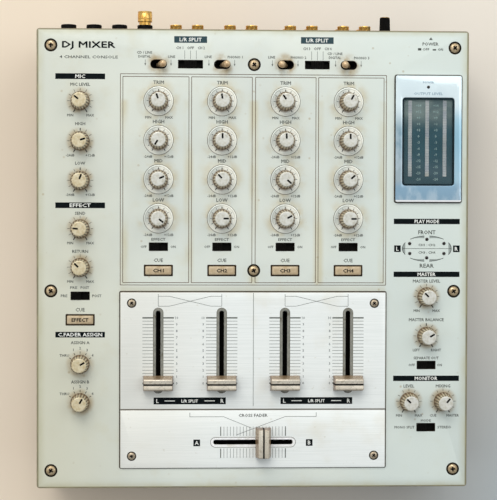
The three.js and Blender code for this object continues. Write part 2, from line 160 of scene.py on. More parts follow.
PHONO_Z = (50 + BENCH, 28 + BENCH)
JACK_Z = PHONO_Z[0]
GROUND_X = 105.6
INLET_X, INLET_Z = 135.6, 32 + BENCH
PHONES_X, PHONES_Z = 133.0, 61 + BENCH

# ---- shading

MIX_SHARE, MIX_FIRST, MIX_SECOND, MIX_RESULT = 0, 6, 7, 2    # colour sockets of a mix node


def colour(code):
    """Linear colour of an sRGB hex code."""
    parts = [int(code[i:i + 2], 16) / 255 for i in (1, 3, 5)]
    linear = [c / 12.92 if c <= 0.04045 else ((c + 0.055) / 1.055) ** 2.4 for c in parts]
    return (*linear, 1.0)


class Shader:
    """Short-hand for one procedural material, with coordinates in millimetres."""

    def __init__(self, name, tone, metallic=0.0, specular=0.5, roughness=0.5):
        self.material = bpy.data.materials.new(name)
        self.material.use_nodes = True
        self.tree = self.material.node_tree
        self.surface = self.tree.nodes["Principled BSDF"]
        self.tone = tone
        self.set("Metallic", metallic)
        self.set("Specular IOR Level", specular)
        self.set("Roughness", roughness)
        place = self.node("TexCoord").outputs["Object"]
        self.place = self.vector("SCALE", {0: place, "Scale": 1 / MM})
        self.axes = self.node("SeparateXYZ", [self.place]).outputs

    def link(self, source, socket):
        if isinstance(source, bpy.types.NodeSocket):
            self.tree.links.new(source, socket)
        else:
            socket.default_value = colour(source) if isinstance(source, str) else source

    def set(self, name, source):
        self.link(source, self.surface.inputs[name])

    def node(self, kind, sources=(), **settings):
        """New node whose inputs are linked or set, in order or by key."""
        node = self.tree.nodes.new("ShaderNode" + kind)
        for name, value in settings.items():
            setattr(node, name, value)
        for key, source in sources.items() if isinstance(sources, dict) else enumerate(sources):
            self.link(source, node.inputs[key])
        return node

    def vector(self, operation, sources):
        node = self.node("VectorMath", sources, operation=operation)
        return node.outputs["Value" if operation == "LENGTH" else "Vector"]

    def maths(self, operation, *sources):
        return self.node("Math", sources, operation=operation).outputs[0]

    def times(self, *shares):
        return reduce(lambda first, second: self.maths("MULTIPLY", first, second), shares)

    def most(self, *shares):
        return reduce(lambda first, second: self.maths("MAXIMUM", first, second), shares)

    def span(self, value, low, high, out_low=0.0, out_high=1.0):
        """value from low..high, smoothly and clamped, onto out_low..out_high."""
        sources = (value, low, high, out_low, out_high)
        return self.node("MapRange", sources, interpolation_type="SMOOTHSTEP").outputs[0]

    def mix(self, share, first, second):
        sources = {MIX_SHARE: share, MIX_FIRST: first, MIX_SECOND: second}
        return self.node("Mix", sources, data_type="RGBA").outputs[MIX_RESULT]

    def shifted(self, offset, stretch=(1, 1, 1)):
        return self.vector("MULTIPLY_ADD", (self.place, stretch, offset))

    def noise(self, scale, detail, stretch=(1, 1, 1), offset=(0, 0, 0)):
        place = self.shifted(offset, stretch)
        sources = {"Vector": place, "Scale": scale, "Detail": detail, "Roughness": 0.55}
        return self.node("TexNoise", sources).outputs["Fac"]

    def patch(self, scale, detail, low, high, out_low=0.0, out_high=1.0, **where):
        """Share from noise whose values low..high become out_low..out_high."""
        return self.span(self.noise(scale, detail, **where), low, high, out_low, out_high)

    def cells(self, scale, offset=(0, 0, 0)):
        sources = {"Vector": self.shifted(offset), "Scale": scale}
        return self.node("TexVoronoi", sources).outputs["Distance"]

    def nearest(self, places):
        """Distance in the panel's plane to the nearest of several points."""
        flat = self.vector("MULTIPLY", (self.place, (1, 1, 0)))
        reach = 1000.0
        for x, y in places:
            away = self.vector("LENGTH", [self.vector("SUBTRACT", (flat, (x, y, 0)))])
            reach = self.maths("MINIMUM", away, reach)
        return reach

    def near_lines(self, axis, pitch):
        """Distance along one axis to the nearest whole multiple of the pitch."""
        moved = self.maths("ADD", axis, pitch / 2)
        return self.maths("SUBTRACT", pitch / 2, self.maths("PINGPONG", moved, pitch / 2))

    def tint(self, code, *shares):
        """Turns the base colour towards a colour by the product of the shares."""
        self.tone = self.mix(self.times(*shares), self.tone, code)

    def uneven(self, scale, detail, low, high, **where):
        self.set("Roughness", self.patch(scale, detail, 0.3, 0.7, low, high, **where))

    def bump(self, height, strength, depth):
        """Relief of the given depth in millimetres."""
        sources = {"Height": height, "Strength": strength, "Distance": depth * MM}
        self.set("Normal", self.node("Bump", sources).outputs[0])

    def relief(self, scale, strength, depth, detail=3, **where):
        self.bump(self.noise(scale, detail, **where), strength, depth)

    def done(self):
        self.set("Base Color", self.tone)
        return self.material


def worn(name, base, shade, roughness, metallic=0.0, dirt=None, patch=0.06, spread=(0.55, 0.75),
         grain=0.35, depth=0.02, gloss=0.5):
    """Finish with colour variation, patches of dirt, uneven gloss and a fine relief."""
    s = Shader(name, base, metallic, gloss)
    s.tint(shade, s.patch(grain, 5, 0.35, 0.65))
    if dirt:
        s.tint(dirt, s.patch(patch, 7, *spread, offset=(31, 17, 5)))
    s.uneven(grain * 2, 3, roughness * 0.8, roughness * 1.25, offset=(9, 4, 2))
    s.relief(2.5, 0.4, depth)
    return s.done()


def printed(name, base, worn_to, wear=(0.62, 0.8)):
    """Screen-printed ink that has rubbed thin in places."""
    s = Shader(name, base, specular=0.06, roughness=0.6)
    s.tint(worn_to, s.patch(0.35, 4, 0.35, 0.7, 0.0, 0.6))
    s.tint(worn_to, s.patch(0.12, 6, *wear, offset=(4, 7, 1)))
    s.relief(3.0, 0.2, 0.01, 2)
    return s.done()


def panel_paint():
    """Silver-white paint, yellowed by handling round the controls and dirty in its grooves, with painted
    shade in its grooves and holes, along its outer edge and beside the fader plate, and a cool cast of window
    light painted on its right.
    """
    s = Shader("panel_paint", "#dce1d7", 0.05, 0.35)
    x, y, z = s.axes
    off_x, off_y = s.maths("ABSOLUTE", x), s.maths("ABSOLUTE", y)
    s.tint("#d4dad2", s.patch(0.012, 3, 0.35, 0.65))
    s.tint("#d0ceb8", s.patch(0.05, 6, 0.5, 0.8, 0.0, 0.45, offset=(7, 3, 1)))
    s.tint("#cdc9b0", s.span(x, -50, -165), s.span(y, 150, -130, 0.3, 0.7))
    # painted light: a cooler cast towards the right, standing in for the window light that falls there
    s.tint("#d5e0da", s.span(x, 30, 130, 0.0, 0.6))
    smudge = s.patch(0.09, 6, 0.38, 0.66, offset=(2, 9, 4))
    dials = s.nearest([middle(name) for name in CHANNEL_KNOBS])
    s.tint("#c6b487", s.span(dials, 19, 10), smudge, 0.6)
    levers = s.nearest([(place, TOGGLE_Y) for place in CHANNEL_X])
    s.tint("#a58c5c", s.span(levers, 11, 5), smudge, 0.8)
    sides = s.nearest([middle(name) for name in SIDE_KNOBS])
    s.tint("#b09a70", s.span(sides, 12.0, 7.5), s.patch(0.12, 5, 0.34, 0.62, 0.15, 0.7, offset=(6, 1, 3)))
    s.tint("#a58f63", s.span(s.cells(0.11, (3, 8, 0)), 0.14, 0.05), s.patch(0.03, 4, 0.48, 0.62), 0.5)
    # painted shade: a dark line round the outer edge of the top face, where the sheet turns down
    s.tint("#4b4129", s.most(s.span(off_x, 163.1, 164.1), s.span(off_y, 173.5, 174.3)), 0.9)
    rim = s.most(s.span(off_x, 157, 164.5), s.span(off_y, 169, 174.5))
    s.tint("#b8b28a", rim, s.patch(0.05, 5, 0.3, 0.7, 0.45, 1.0, offset=(8, 8, 2)), 0.55)
    inside = s.times(s.span(off_x, 103, 99.5), s.span(y, 123, 119))
    beside = s.times(s.span(s.near_lines(x, 49.7), 5.5, 1), s.span(y, -22, -16), inside)
    s.tint("#c6ba90", beside, s.patch(0.03, 4, 0.4, 0.62, stretch=(1, 0.4, 1), offset=(5, 2, 2)), 0.55)
    # grime and painted shade: a brownish band along the rear edge of the fader plate, where it stands above
    # the panel
    s.tint("#b7ab83", s.span(y, -19.5, -22.5), s.span(y, -28.5, -26.0), inside, 0.25)
    # grime and painted shade: darker brown below the top face, in the grooves, the gaps round the dial discs,
    # the walls of the holes and down the sheet's edge
    s.tint("#6f5844", s.span(z, -0.04, -0.16))
    s.uneven(0.2, 4, 0.44, 0.6)
    s.relief(3.0, 0.25, 0.012)
    return s.done()


def brushed_plate():
    """Anodised sheet brushed from side to side, with grime and painted shade along its edges, painted shade
    on its side walls and steps, and painted shade over its left half.
    """
    s = Shader("brushed_plate", "#f8fbf7", 0.15)
    x, y, z = s.axes
    strokes = s.noise(1.0, 5, (0.03, 3.2, 1.0))
    s.tint("#ebefeb", s.span(strokes, 0.3, 0.7))
    # painted shade: a warmer, duller left half, standing in for the light that falls from the right
    s.tint("#e6e2d4", s.span(x, -10, -100, 0.0, 0.5))
    s.tint("#e2ddcb", s.patch(0.02, 5, 0.52, 0.75, 0.0, 0.5, offset=(5, 1, 0)))
    s.tint("#b9ad8c", s.patch(0.3, 7, 0.66, 0.76, 0.0, 0.35, offset=(9, 1, 0)))
    # painted shade: darker on the side walls and in the slot and screw steps, below the top face
    s.tint("#8c877a", s.span(z, PLATE_TOP - 0.3, PLATE_TOP - 0.7))
    # grime and painted shade: dark along the outer sides, the rear edge and the seam of the plates
    away = [s.maths("ABSOLUTE", s.maths("SUBTRACT", y, line)) for line in (PLATE_REAR_Y, PLATE_SEAM_Y)]
    grimy_shaded_rims = [s.span(distance, 0.75, 0.35) for distance in away]
    s.tint("#66563c", s.most(s.span(s.maths("ABSOLUTE", x), 101.0, 101.6), *grimy_shaded_rims), 0.85)
    s.set("Roughness", s.span(strokes, 0.3, 0.7, 0.36, 0.5))
    s.bump(strokes, 0.3, 0.02)
    return s.done()


def dial_disc():
    """Spun aluminium with turning marks, a little grime round the knob, and painted reflection in darker
    sectors towards the upper left and the lower right.
    """
    s = Shader("dial_disc", "#fffff2", 0.1, roughness=0.3)
    x, y = s.axes[:2]
    reach = s.nearest([(0, 0)])
    turn = s.maths("ARCTAN2", y, x)
    s.tint("#f5f6ea", s.patch(0.25, 4, 0.35, 0.7))
    # painted reflection: darker fan-shaped sectors towards the upper left and, fainter, the lower right, like
    # the bow-tie reflections of spun metal
    left, right = (s.maths("COSINE", s.maths("SUBTRACT", turn, way)) for way in (2.6, 5.0))
    s.tint("#c3cbc6", s.most(s.span(left, 0.1, 0.95, 0.0, 0.7), s.span(right, 0.8, 1.0, 0.0, 0.25)))
    s.tint("#86643c", s.span(reach, 9.2, 7.3), s.patch(0.3, 6, 0.42, 0.64, offset=(5, 5, 1)), 0.7)
    s.bump(s.maths("SINE", s.times(reach, 14.0)), 0.12, 0.02)
    return s.done()


def knob_plastic(name, top, top_shade, gap):
    """Silver-cream top, with brown grime that has settled between the flutes, and darker brown towards the
    base, partly grime and partly painted shade near the panel.
    """
    s = Shader(name, top, 0.2)
    x, y, z = s.axes
    valley = s.maths("COSINE", s.times(s.maths("ARCTAN2", y, x), KNOB_FLUTES))
    low = s.span(z, 14.25, 13.4)
    s.tint(top_shade, s.patch(0.5, 5, 0.35, 0.7))
    s.tint(s.mix(s.patch(0.35, 5, 0.38, 0.62, offset=(4, 2, 7)), "#e2d6b8", "#b09468"), low)
    s.tint(gap, s.span(valley, 0.5, -0.7), s.patch(0.2, 4, 0.35, 0.6, 0.5, 0.95, offset=(1, 6, 2)), low)
    # grime and painted shade: darker brown towards the foot of the knob, near the panel
    s.tint("#5a3a14", s.span(z, 9.0, 2.6, 0.0, 0.7))
    s.uneven(0.8, 3, 0.3, 0.46)
    s.relief(4.0, 0.3, 0.015)
    return s.done()


def cap_plastic():
    """Champagne plating on the fader caps, with painted shade on the sloping front and back faces and on both
    ends, so the top reads bright.
    """
    s = Shader("cap_plastic", "#dcd3c2", 0.35)
    x, y = s.axes[:2]
    s.tint("#cdbfa6", s.patch(0.12, 4, 0.35, 0.7, stretch=(0.3, 1, 1)))
    # painted shade: darker brown on the sloping front and back faces, and on both ends
    s.tint("#8f704c", s.span(s.maths("ABSOLUTE", y), 3.2, 4.6, 0.0, 0.85))
    s.tint("#6b4527", s.span(s.maths("ABSOLUTE", x), 10.3, 11.0, 0.0, 0.8))
    s.tint("#9b8058", s.patch(0.3, 5, 0.55, 0.74, 0.0, 0.4, offset=(3, 3, 3)))
    s.uneven(0.3, 4, 0.24, 0.38)
    s.relief(1.6, 0.2, 0.01, stretch=(0.2, 1, 1))
    return s.done()


def bezel_metal():
    """Polished meter surround with hairline scratches, and a painted reflection of the sky: bright at the
    rear, blue-grey and blue towards the front, pale blue at the right, with a cloudy band and a painted
    highlight along the front edge.
    """
    s = Shader("bezel_metal", "#7a9cab", 0.2)
    x, y = s.axes[:2]
    # painted reflection of the sky, bright at the rear and bluer towards the front
    s.tint("#ecfbfe", s.span(y, 92, 120))
    s.tint("#a9bbc3", s.span(y, 90, 72))
    s.tint("#a8d6ea", s.span(x, 146, 151), s.span(y, 120, 104), 0.7)
    s.tint("#8fb0c6", s.span(y, 62, 54))
    # painted reflection of clouds
    reflected_clouds = s.patch(0.05, 4, 0.45, 0.62, stretch=(1.6, 0.8, 1), offset=(4, 1, 0))
    s.tint("#c6d8e2", reflected_clouds, s.span(y, 124, 110, 0.12, 0.6))
    # painted highlight along the front edge
    s.tint("#ffffff", s.span(y, BEZEL_LOW.y + 1.9, BEZEL_LOW.y + 1.6))
    hairs = s.noise(1.2, 4, (2.5, 0.08, 1))
    s.set("Roughness", s.span(hairs, 0.4, 0.8, 0.06, 0.2))
    s.bump(hairs, 0.1, 0.01)
    return s.done()


def smoked_window():
    """Tinted clear pane over the meter, lightly scratched."""
    s = Shader("smoked_window", "#2c4a52")
    s.tint("#38545a", s.patch(0.02, 3, 0.4, 0.6))
    s.set("Alpha", s.patch(0.05, 4, 0.3, 0.7, 0.14, 0.22))
    s.set("Roughness", s.patch(1.5, 5, 0.5, 0.8, 0.05, 0.18, stretch=(0.3, 2, 1)))
    return s.done()


def meter_backing():
    """Dark teal board behind the meter bars, paler towards its ends as painted reflection of the pane."""
    s = Shader("meter_backing", "#2f5964")
    y = s.axes[1]
    # painted reflection: paler towards both ends, standing in for the pane's reflection of the room
    s.tint("#8f9f99", s.span(y, 98, 112))
    s.tint("#4a626b", s.span(y, 82, 66))
    s.tint("#35525a", s.patch(0.04, 4, 0.4, 0.64, 0.0, 0.6))
    s.relief(1.5, 0.2, 0.02, 2)
    return s.done()


def circuit_board():
    """Green laminate with black component bodies standing on it."""
    s = Shader("circuit_board", "#3d7a4a", specular=0.08)
    z = s.axes[2]
    top = extent("control_board")[0].z + 1 - BENCH
    s.tint("#23552f", s.span(s.cells(0.35), 0.1, 0.3))
    s.tint(s.mix(s.patch(0.8, 5, 0.35, 0.7), "#0a0906", "#110f0b"), s.span(z, top + 0.3, top + 0.8))
    s.uneven(0.5, 4, 0.35, 0.6)
    s.relief(1.5, 0.3, 0.05, 4)
    return s.done()


def connector_board():
    """Black socket housings on green laminate, with plated metal outside the rear wall."""
    s = Shader("connector_board", "#1b1a18")
    y = s.maths("SUBTRACT", s.axes[1], CENTRE.y / MM)
    outside = s.span(y, REAR_Y - 1.0, REAR_Y)
    s.tint("#2b2926", s.patch(0.6, 4, 0.4, 0.6))
    s.tint("#2c6a3b", s.span(y, 152.0, 151.0))
    s.tint(s.mix(s.patch(0.7, 4, 0.35, 0.7), "#d8b36a", "#b48b45"), outside)
    s.set("Metallic", outside)
    s.uneven(0.9, 4, 0.25, 0.42)
    s.relief(2.0, 0.2, 0.02)
    return s.done()


def chassis_paint():
    """Dark textured powder coat on the sheet metal, and rubber below it on the feet."""
    s = Shader("chassis_paint", "#3b3d3e", 0.2)
    z = s.axes[2]
    s.tint("#2f3132", s.patch(0.4, 5, 0.35, 0.7))
    s.tint("#6a6558", s.patch(0.05, 7, 0.6, 0.78, 0.0, 0.5, offset=(6, 2, 8)))
    s.tint(s.mix(s.patch(0.3, 5, 0.4, 0.7), "#1a1a1a", "#2a2826"), s.span(z, 9.6, 9.4))
    s.uneven(0.8, 4, 0.45, 0.7)
    s.relief(1.4, 0.6, 0.08, 4)
    return s.done()


def screw_steel(name, radius, light, shade, dirt):
    """Steel heads of the given radius, with painted shade in the cross recess."""
    s = Shader(name, light, 0.7)
    z = s.axes[2]
    s.tint(shade, s.patch(0.6, 5, 0.35, 0.7))
    s.tint(dirt, s.patch(0.25, 6, 0.52, 0.72, 0.0, 0.8, offset=(3, 1, 4)))
    reach = s.nearest([(0, 0)])
    # painted shade: near black inside the cross recess
    s.tint("#120d06", s.span(z, 0.15 * radius, 0.08 * radius), s.span(reach, 0.58 * radius, 0.5 * radius))
    s.uneven(0.8, 4, 0.28, 0.5)
    s.relief(2.0, 0.3, 0.02)
    return s.done()


PAINT = panel_paint()
PLATE = brushed_plate()
DISC = dial_disc()
KNOB = knob_plastic("knob_plastic", "#dddcd3", "#cac7b8", "#46300f")
AGED_KNOB = knob_plastic("aged_knob_plastic", "#dcd0b0", "#c9b78e", "#33200a")
CAP = cap_plastic()
SURROUND = bezel_metal()
WINDOW = smoked_window()
CHASSIS = chassis_paint()
CIRCUIT = circuit_board()
SOCKETS = connector_board()
BACKING = meter_backing()
STEEL = screw_steel("screw_steel", SCREW_R, "#d2bd9b", "#a58e6a", "#66502f")
PLATE_STEEL = screw_steel("plate_screw_steel", PLATE_SCREW_R, "#cdbfa6", "#a19078", "#5f4c33")
BUTTON = worn("button_plastic", "#cbb898", "#bba583", 0.42, 0.05, "#a88a5f", 0.12)
BLACK = worn("black_plastic", "#070605", "#0d0b08", 0.6, 0.0, "#1e180f", spread=(0.62, 0.82), gloss=0.08)
DARK = worn("dark_liner", "#23170a", "#33230f", 0.6, 0.0, "#4b3920", 0.3, gloss=0.2)
TRENCH = worn("fader_trench", "#94948a", "#a5a398", 0.35, 0.4, "#746c58", 0.2)
PALE = worn("pale_bezel", "#ffffff", "#f4f4ef", 0.35, 0.1, "#d8d1bb", spread=(0.6, 0.8))
BRASS = worn("toggle_brass", "#dcc29c", "#bd9a70", 0.3, 0.35, "#6e4a28", 0.3)
WELL = worn("screw_well", "#231d10", "#17120a", 0.7, 0.0, "#3d3320", 0.3, gloss=0.2)
GOLD = worn("gold_contact", "#f0c673", "#d8a24a", 0.28, 0.8, "#94692c", 0.2, (0.6, 0.8))
RUBBER = worn("rubber_foot", "#1b1b1b", "#262422", 0.8, depth=0.06)
SEAL = worn("meter_seal", "#39362f", "#4a443a", 0.6, 0.0, "#6b5f48", 0.2, gloss=0.2)
GASKET = worn("meter_gasket", "#08191e", "#0e252c", 0.4, gloss=0.2)
SEGMENT = worn("meter_led", "#dfe1dc", "#c6cbd2", 0.35, 0.0, "#e4dcc0", 0.05, grain=0.15)
FIGURE = worn("meter_figure", "#b9d2cc", "#a3bfba", 0.5)
LAMP = worn("lamp_lens", "#16120e", "#2b2018", 0.12, grain=0.9, depth=0.01)
SOCKET_WHITE = worn("socket_white", "#e8e6df", "#d8d5ca", 0.4)
SOCKET_RED = worn("socket_red", "#b3261e", "#98201a", 0.4)
INK = printed("legend_ink", "#50544f", "#747872", (0.62, 0.85))
DARK_INK = printed("scale_ink", "#262827", "#4b4f4b", (0.66, 0.85))
GREY_INK = printed("scale_number_ink", "#7c817f", "#939896", (0.62, 0.85))
OUTLINE = printed("slot_outline_ink", "#5c574b", "#726c5e")
PALE_INK = printed("pale_ink", "#929a95", "#a5aca7")
FAINT_INK = printed("faint_ink", "#8aa0ad", "#9fb3be")
POINTER = printed("pointer_ink", "#0d0b09", "#1d1813", (0.75, 0.9))
HEADER = printed("header_ink", "#070d0f", "#121a1c", (0.7, 0.85))
SLATE = printed("slate_ink", "#34484e", "#44585d", (0.7, 0.85))
WHITE_INK = printed("white_ink", "#f2f4ee", "#dcdcd0", (0.7, 0.9))

# ---- mesh making

REARWARD = Matrix.Rotation(-math.pi / 2, 4, "X")     # turns +z to +y
FORWARD = Matrix.Rotation(math.pi / 2, 4, "X")       # turns +z to -y


def turns(count):
    return [2 * math.pi * i / count for i in range(count)]


def rounded(x, y, width, depth, radius=0.001, steps=4):
    """Outline of a rectangle with round corners, counter-clockwise."""
    points = []
    for quarter, (sx, sy) in enumerate(((1, -1), (1, 1), (-1, 1), (-1, -1))):
        for i in range(steps + 1):
            turn = (quarter - 1 + i / steps) * math.pi / 2
            cx = x + sx * (width / 2 - radius)
            cy = y + sy * (depth / 2 - radius)
            points.append((cx + radius * math.cos(turn), cy + radius * math.sin(turn)))
    return points


def grown(place, by, radius, steps=4):
    """Rounded outline of a plan that is wider and deeper by the given measure."""
    x, y, width, depth = place
    return rounded(x, y, width + by, depth + by, radius, steps)


def stadium(x, y, width, depth):
    return rounded(x, y, width, depth, min(width, depth) / 2 - 0.02, 8)


def disc(x, y, radius, sides=32):
    return [(x + radius * math.cos(t), y + radius * math.sin(t)) for t in turns(sides)]


def skin(bm, rings, finish=0, join=False):
    """Closed surface through loops of points, capped at its ends or joined end to end."""
    loops = [[bm.verts.new(point) for point in loop] for loop in rings]
    count = len(loops[0])
    faces = [] if join else [bm.faces.new(loops[0][::-1]), bm.faces.new(loops[-1])]
    for first, second in zip(loops, loops[1:] + loops[:1] if join else loops[1:]):
        for i in range(count):
            j = (i + 1) % count
            faces.append(bm.faces.new((first[i], first[j], second[j], second[i])))
    for face in faces:
        face.material_index = finish


def prism(bm, outline, low, high, finish=0):
    skin(bm, [[(x, y, z) for x, y in outline] for z in (low, high)], finish)


def frame_ring(bm, outer, inner, low, high):
    """Flat ring between two outlines with the same number of points."""
    loops = ((outer, low), (outer, high), (inner, high), (inner, low))
    skin(bm, [[(x, y, z) for x, y in outline] for outline, z in loops], join=True)


def turned(bm, profile, sides=32, hollow=False):
    """Turned shape about z from (radius, height) pairs; hollow joins the last pair to the first."""
    loops = [[(x, y, z) for x, y in disc(0, 0, max(radius, 0.02), sides)] for radius, z in profile]
    skin(bm, loops, join=hollow)


def fluted(bm, profile, flutes, steps):
    """Turned shape from (radius, height, flute depth), with steps points to each flute."""
    loops = []
    for radius, z, depth in profile:
        reach = [(t, radius - depth * (0.5 - 0.5 * math.cos(flutes * t))) for t in turns(flutes * steps)]
        loops.append([(r * math.cos(t), r * math.sin(t), z) for t, r in reach])
    skin(bm, loops)


def soften(bm, width, segments=2, angle=35.0):
    """Bevels the edges whose faces meet at more than the given angle."""
    bmesh.ops.recalc_face_normals(bm, faces=bm.faces[:])
    limit = math.radians(angle)
    edges = [e for e in bm.edges if len(e.link_faces) == 2 and e.calc_face_angle(0.0) > limit]
    bmesh.ops.bevel(bm, geom=edges, offset=width, offset_type="OFFSET", segments=segments,
                    profile=0.5, affect="EDGES", clamp_overlap=True)


def one(shape, *measures, bevel=None):
    """A single shape by itself, its edges softened by bevel (width, segments)."""
    bm = bmesh.new()
    shape(bm, *measures)
    if bevel:
        soften(bm, *bevel)
    return bm


def mesh_of(bm, name, finishes=(), sharp=35.0):
    """Finished mesh in metres, with sharp edges where faces meet at more than sharp degrees."""
    bmesh.ops.recalc_face_normals(bm, faces=bm.faces[:])
    bmesh.ops.scale(bm, vec=(MM, MM, MM), verts=bm.verts[:])
    mesh = bpy.data.meshes.new(name)
    bm.to_mesh(mesh)
    bm.free()
    for finish in finishes:
        mesh.materials.append(finish)
    mesh.shade_smooth()
    mesh.set_sharp_from_angle(angle=math.radians(sharp))
    return mesh


def placed(name, data):
    thing = bpy.data.objects.new(name, data)
    SCENE.collection.objects.link(thing)
    return thing


def cut(mesh, *tools):
    """Mesh with sets of closed, separate shapes cut out of it, one set after another."""
    for bm in tools:
        target, cutter = placed("blank", mesh), placed("cutter", mesh_of(bm, "cutter"))
        difference = target.modifiers.new("cut", "BOOLEAN")
        difference.object = cutter
        difference.operation = "DIFFERENCE"
        difference.solver = "MANIFOLD"
        bpy.context.view_layer.update()
        depsgraph = bpy.context.evaluated_depsgraph_get()
        mesh = bpy.data.meshes.new_from_object(target.evaluated_get(depsgraph))
        bpy.data.objects.remove(target)
        bpy.data.objects.remove(cutter)
        mesh.shade_smooth()
        mesh.set_sharp_from_angle(angle=math.radians(35))
    return mesh


def put(name, mesh, origin, body="root", turn=Matrix.Identity(4), stands_for=None):
    """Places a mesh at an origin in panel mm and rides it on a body."""
    thing = placed(name, mesh)
    thing.matrix_world = Matrix.Translation(CENTRE + Vector(origin) * MM) @ turn
    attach(thing, body)
    if stands_for:
        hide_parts(stands_for)


def piece(name, bm, finish, origin=(0, 0, 0), body="root", sharp=35.0, facing=None, stands_for=None):
    """Makes and places a piece, turned about its own origin by facing."""
    if facing:
        bmesh.ops.transform(bm, matrix=facing, verts=bm.verts[:])
    put(name, mesh_of(bm, name, [finish], sharp), origin, body, stands_for=stands_for)


def ring(name, profile, finish, origin, sides=32, facing=None):
    """Piece turned from the closed outline of its wall."""
    piece(name, one(turned, profile, sides, True), finish, origin, facing=facing)


# ---- printing


class Print:
    """Thin raised lettering and lines on one surface, gathered into one piece."""

    def __init__(self, name, finish, level=0.0, body="root", height=PRINT):
        self.name, self.finish, self.body = name, finish, body
        self.low, self.high = level - 0.03, level + height
        self.bm = bmesh.new()

    def shape(self, outline):
        prism(self.bm, outline, self.low, self.high)

    def bar(self, x, y, width, depth):
        self.shape(rounded(x, y, width, depth, steps=2))

    def stroke(self, points, width):
        """Line of even width with mitred corners."""
        path = [Vector(point) for point in points]
        ways = [(after - before).normalized() for before, after in zip(path, path[1:])]
        left, right = [], []
        for here, into, out in zip(path, ways[:1] + ways, ways + ways[-1:]):
            side = Vector((-(into.y + out.y), into.x + out.x)).normalized()
            reach = width / 2 / max(side.dot(Vector((-into.y, into.x))), 0.3)
            left.append(here + side * reach)
            right.append(here - side * reach)
        self.shape(right + left[::-1])

    def tick(self, x, y, turn, inner, outer, width):
        """Short radial line at an angle in degrees clockwise from the rear."""
        way = Vector((math.sin(math.radians(turn)), math.cos(math.radians(turn))))
        centre = Vector((x, y))
        self.stroke([centre + way * inner, centre + way * outer], width)

    def dial(self, x, y, sweep, heavy, end_reach, reach, widths):
        """Eleven marks round a knob; the heavy steps take the first width, the ends their own reach."""
        for step in range(11):
            turn = sweep * (step / 10 - 0.5)
            self.tick(x, y, turn, *(end_reach if step in (0, 10) else reach), widths[step not in heavy])

    def words(self, text, x, y, height, width=None, bold=0.06):
        """Capitals centred on x, y, squeezed to a width, with strokes thickened by bold * height."""
        font = bpy.data.curves.new("words", "FONT")
        font.body = text
        font.size = height / 0.7
        font.extrude = (self.high - self.low) / 2
        font.resolution_u = 1
        holder = bpy.data.objects.new("words", font)
        mesh = bpy.data.meshes.new_from_object(holder)
        bpy.data.objects.remove(holder)
        letters = bmesh.new()
        letters.from_mesh(mesh)
        bmesh.ops.remove_doubles(letters, verts=letters.verts[:], dist=0.0002)
        xs, ys = [v.co.x for v in letters.verts], [v.co.y for v in letters.verts]
        centre = Vector(((min(xs) + max(xs)) / 2, (min(ys) + max(ys)) / 2, 0))
        squeeze = width / (max(xs) - min(xs)) if width else 1.0
        place = (Matrix.Translation((x, y, (self.low + self.high) / 2))
                 @ Matrix.Diagonal((squeeze, 1, 1, 1)) @ Matrix.Translation(-centre))
        bmesh.ops.transform(letters, matrix=place, verts=letters.verts[:])
        for step in ((-0.5, -0.5, 0), (1, 0, 0.06), (-0.5, 1, 0.06)):
            bmesh.ops.translate(letters, vec=Vector(step) * bold * height, verts=letters.verts[:])
            letters.to_mesh(mesh)
            self.bm.from_mesh(mesh)
        letters.free()
        bpy.data.meshes.remove(mesh)

    def labels(self, x, y, *rows):
        """Words round a point, from rows of text, shift in x and y, height and further measures."""
        for text, dx, dy, *measures in rows:
            self.words(text, x + dx, y + dy, *measures)

    def done(self, origin=(0, 0, 0), facing=None):
        piece(self.name, self.bm, self.finish, origin, self.body, facing=facing)


# ---- top panel


def switch_slot(name):
    """Centre and size of the slot in the panel that a slide switch moves in."""
    x, y = middle(name)
    return (x, y, *SPLIT_HOLE) if "split" in name else (x + SWITCH_SHIFT, y, *SWITCH_HOLE)


def panel_grooves():
    """Engraved cell borders round the channel strips and the gap round each dial disc."""
    bm = bmesh.new()
    for x0, x1, y0, y1 in [(-101.6, 101.6, -19.8, 140.8)] + [(*sides, -18, 138.8) for sides in CELL_X]:
        cell = ((x0 + x1) / 2, (y0 + y1) / 2, x1 - x0, y1 - y0)
        frame_ring(bm, grown(cell, GROOVE, 0.4, 1), grown(cell, -GROOVE, 0.2, 1), -0.3, 1)
    for x, y in map(middle, CHANNEL_KNOBS):
        frame_ring(bm, disc(x, y, DISC_R + DISC_GAP, 48), disc(x, y, DISC_R - 0.1, 48), -0.5, 1)
    return bm


def panel_holes(thick):
    """Openings under the controls and the meter, and shallow wells for the screws."""
    bm = bmesh.new()
    outlines = [disc(*middle(name), KNOB_HOLE_R, 24) for name in KNOBS]
    outlines += [rounded(*switch_slot(name), 0.3, 2) for name in SWITCHES]
    outlines += [rounded(*middle(name), *CUE_HOLE, 0.6, 3) for name in CUES]
    outlines += [stadium(x, TOGGLE_Y, *TOGGLE_HOLE) for x in CHANNEL_X]
    outlines += [rounded(x, CHANNEL_SLOT_Y, *FADER_HOLE) for x in CHANNEL_X]
    outlines += [rounded(0, CROSS_SLOT_Y, *FADER_HOLE[::-1]), rounded(*METER_HOLE)]
    for outline in outlines:
        prism(bm, outline, -thick - 1, 2)
    for x, y in PANEL_SCREWS:
        prism(bm, disc(x, y, SCREW_WELL_R), -1.2, 2)
    return bm


def build_panel():
    low, high = extent("top_panel")
    sheet = one(prism, rounded(0, 0, high.x - low.x, high.y - low.y, 2.2), low.z, 0, bevel=(0.45, 2))
    mesh = cut(mesh_of(sheet, "panel_sheet", [PAINT]), panel_grooves(), panel_holes(-low.z))
    put("panel_sheet", mesh, (0, 0, 0), stands_for="top_panel")


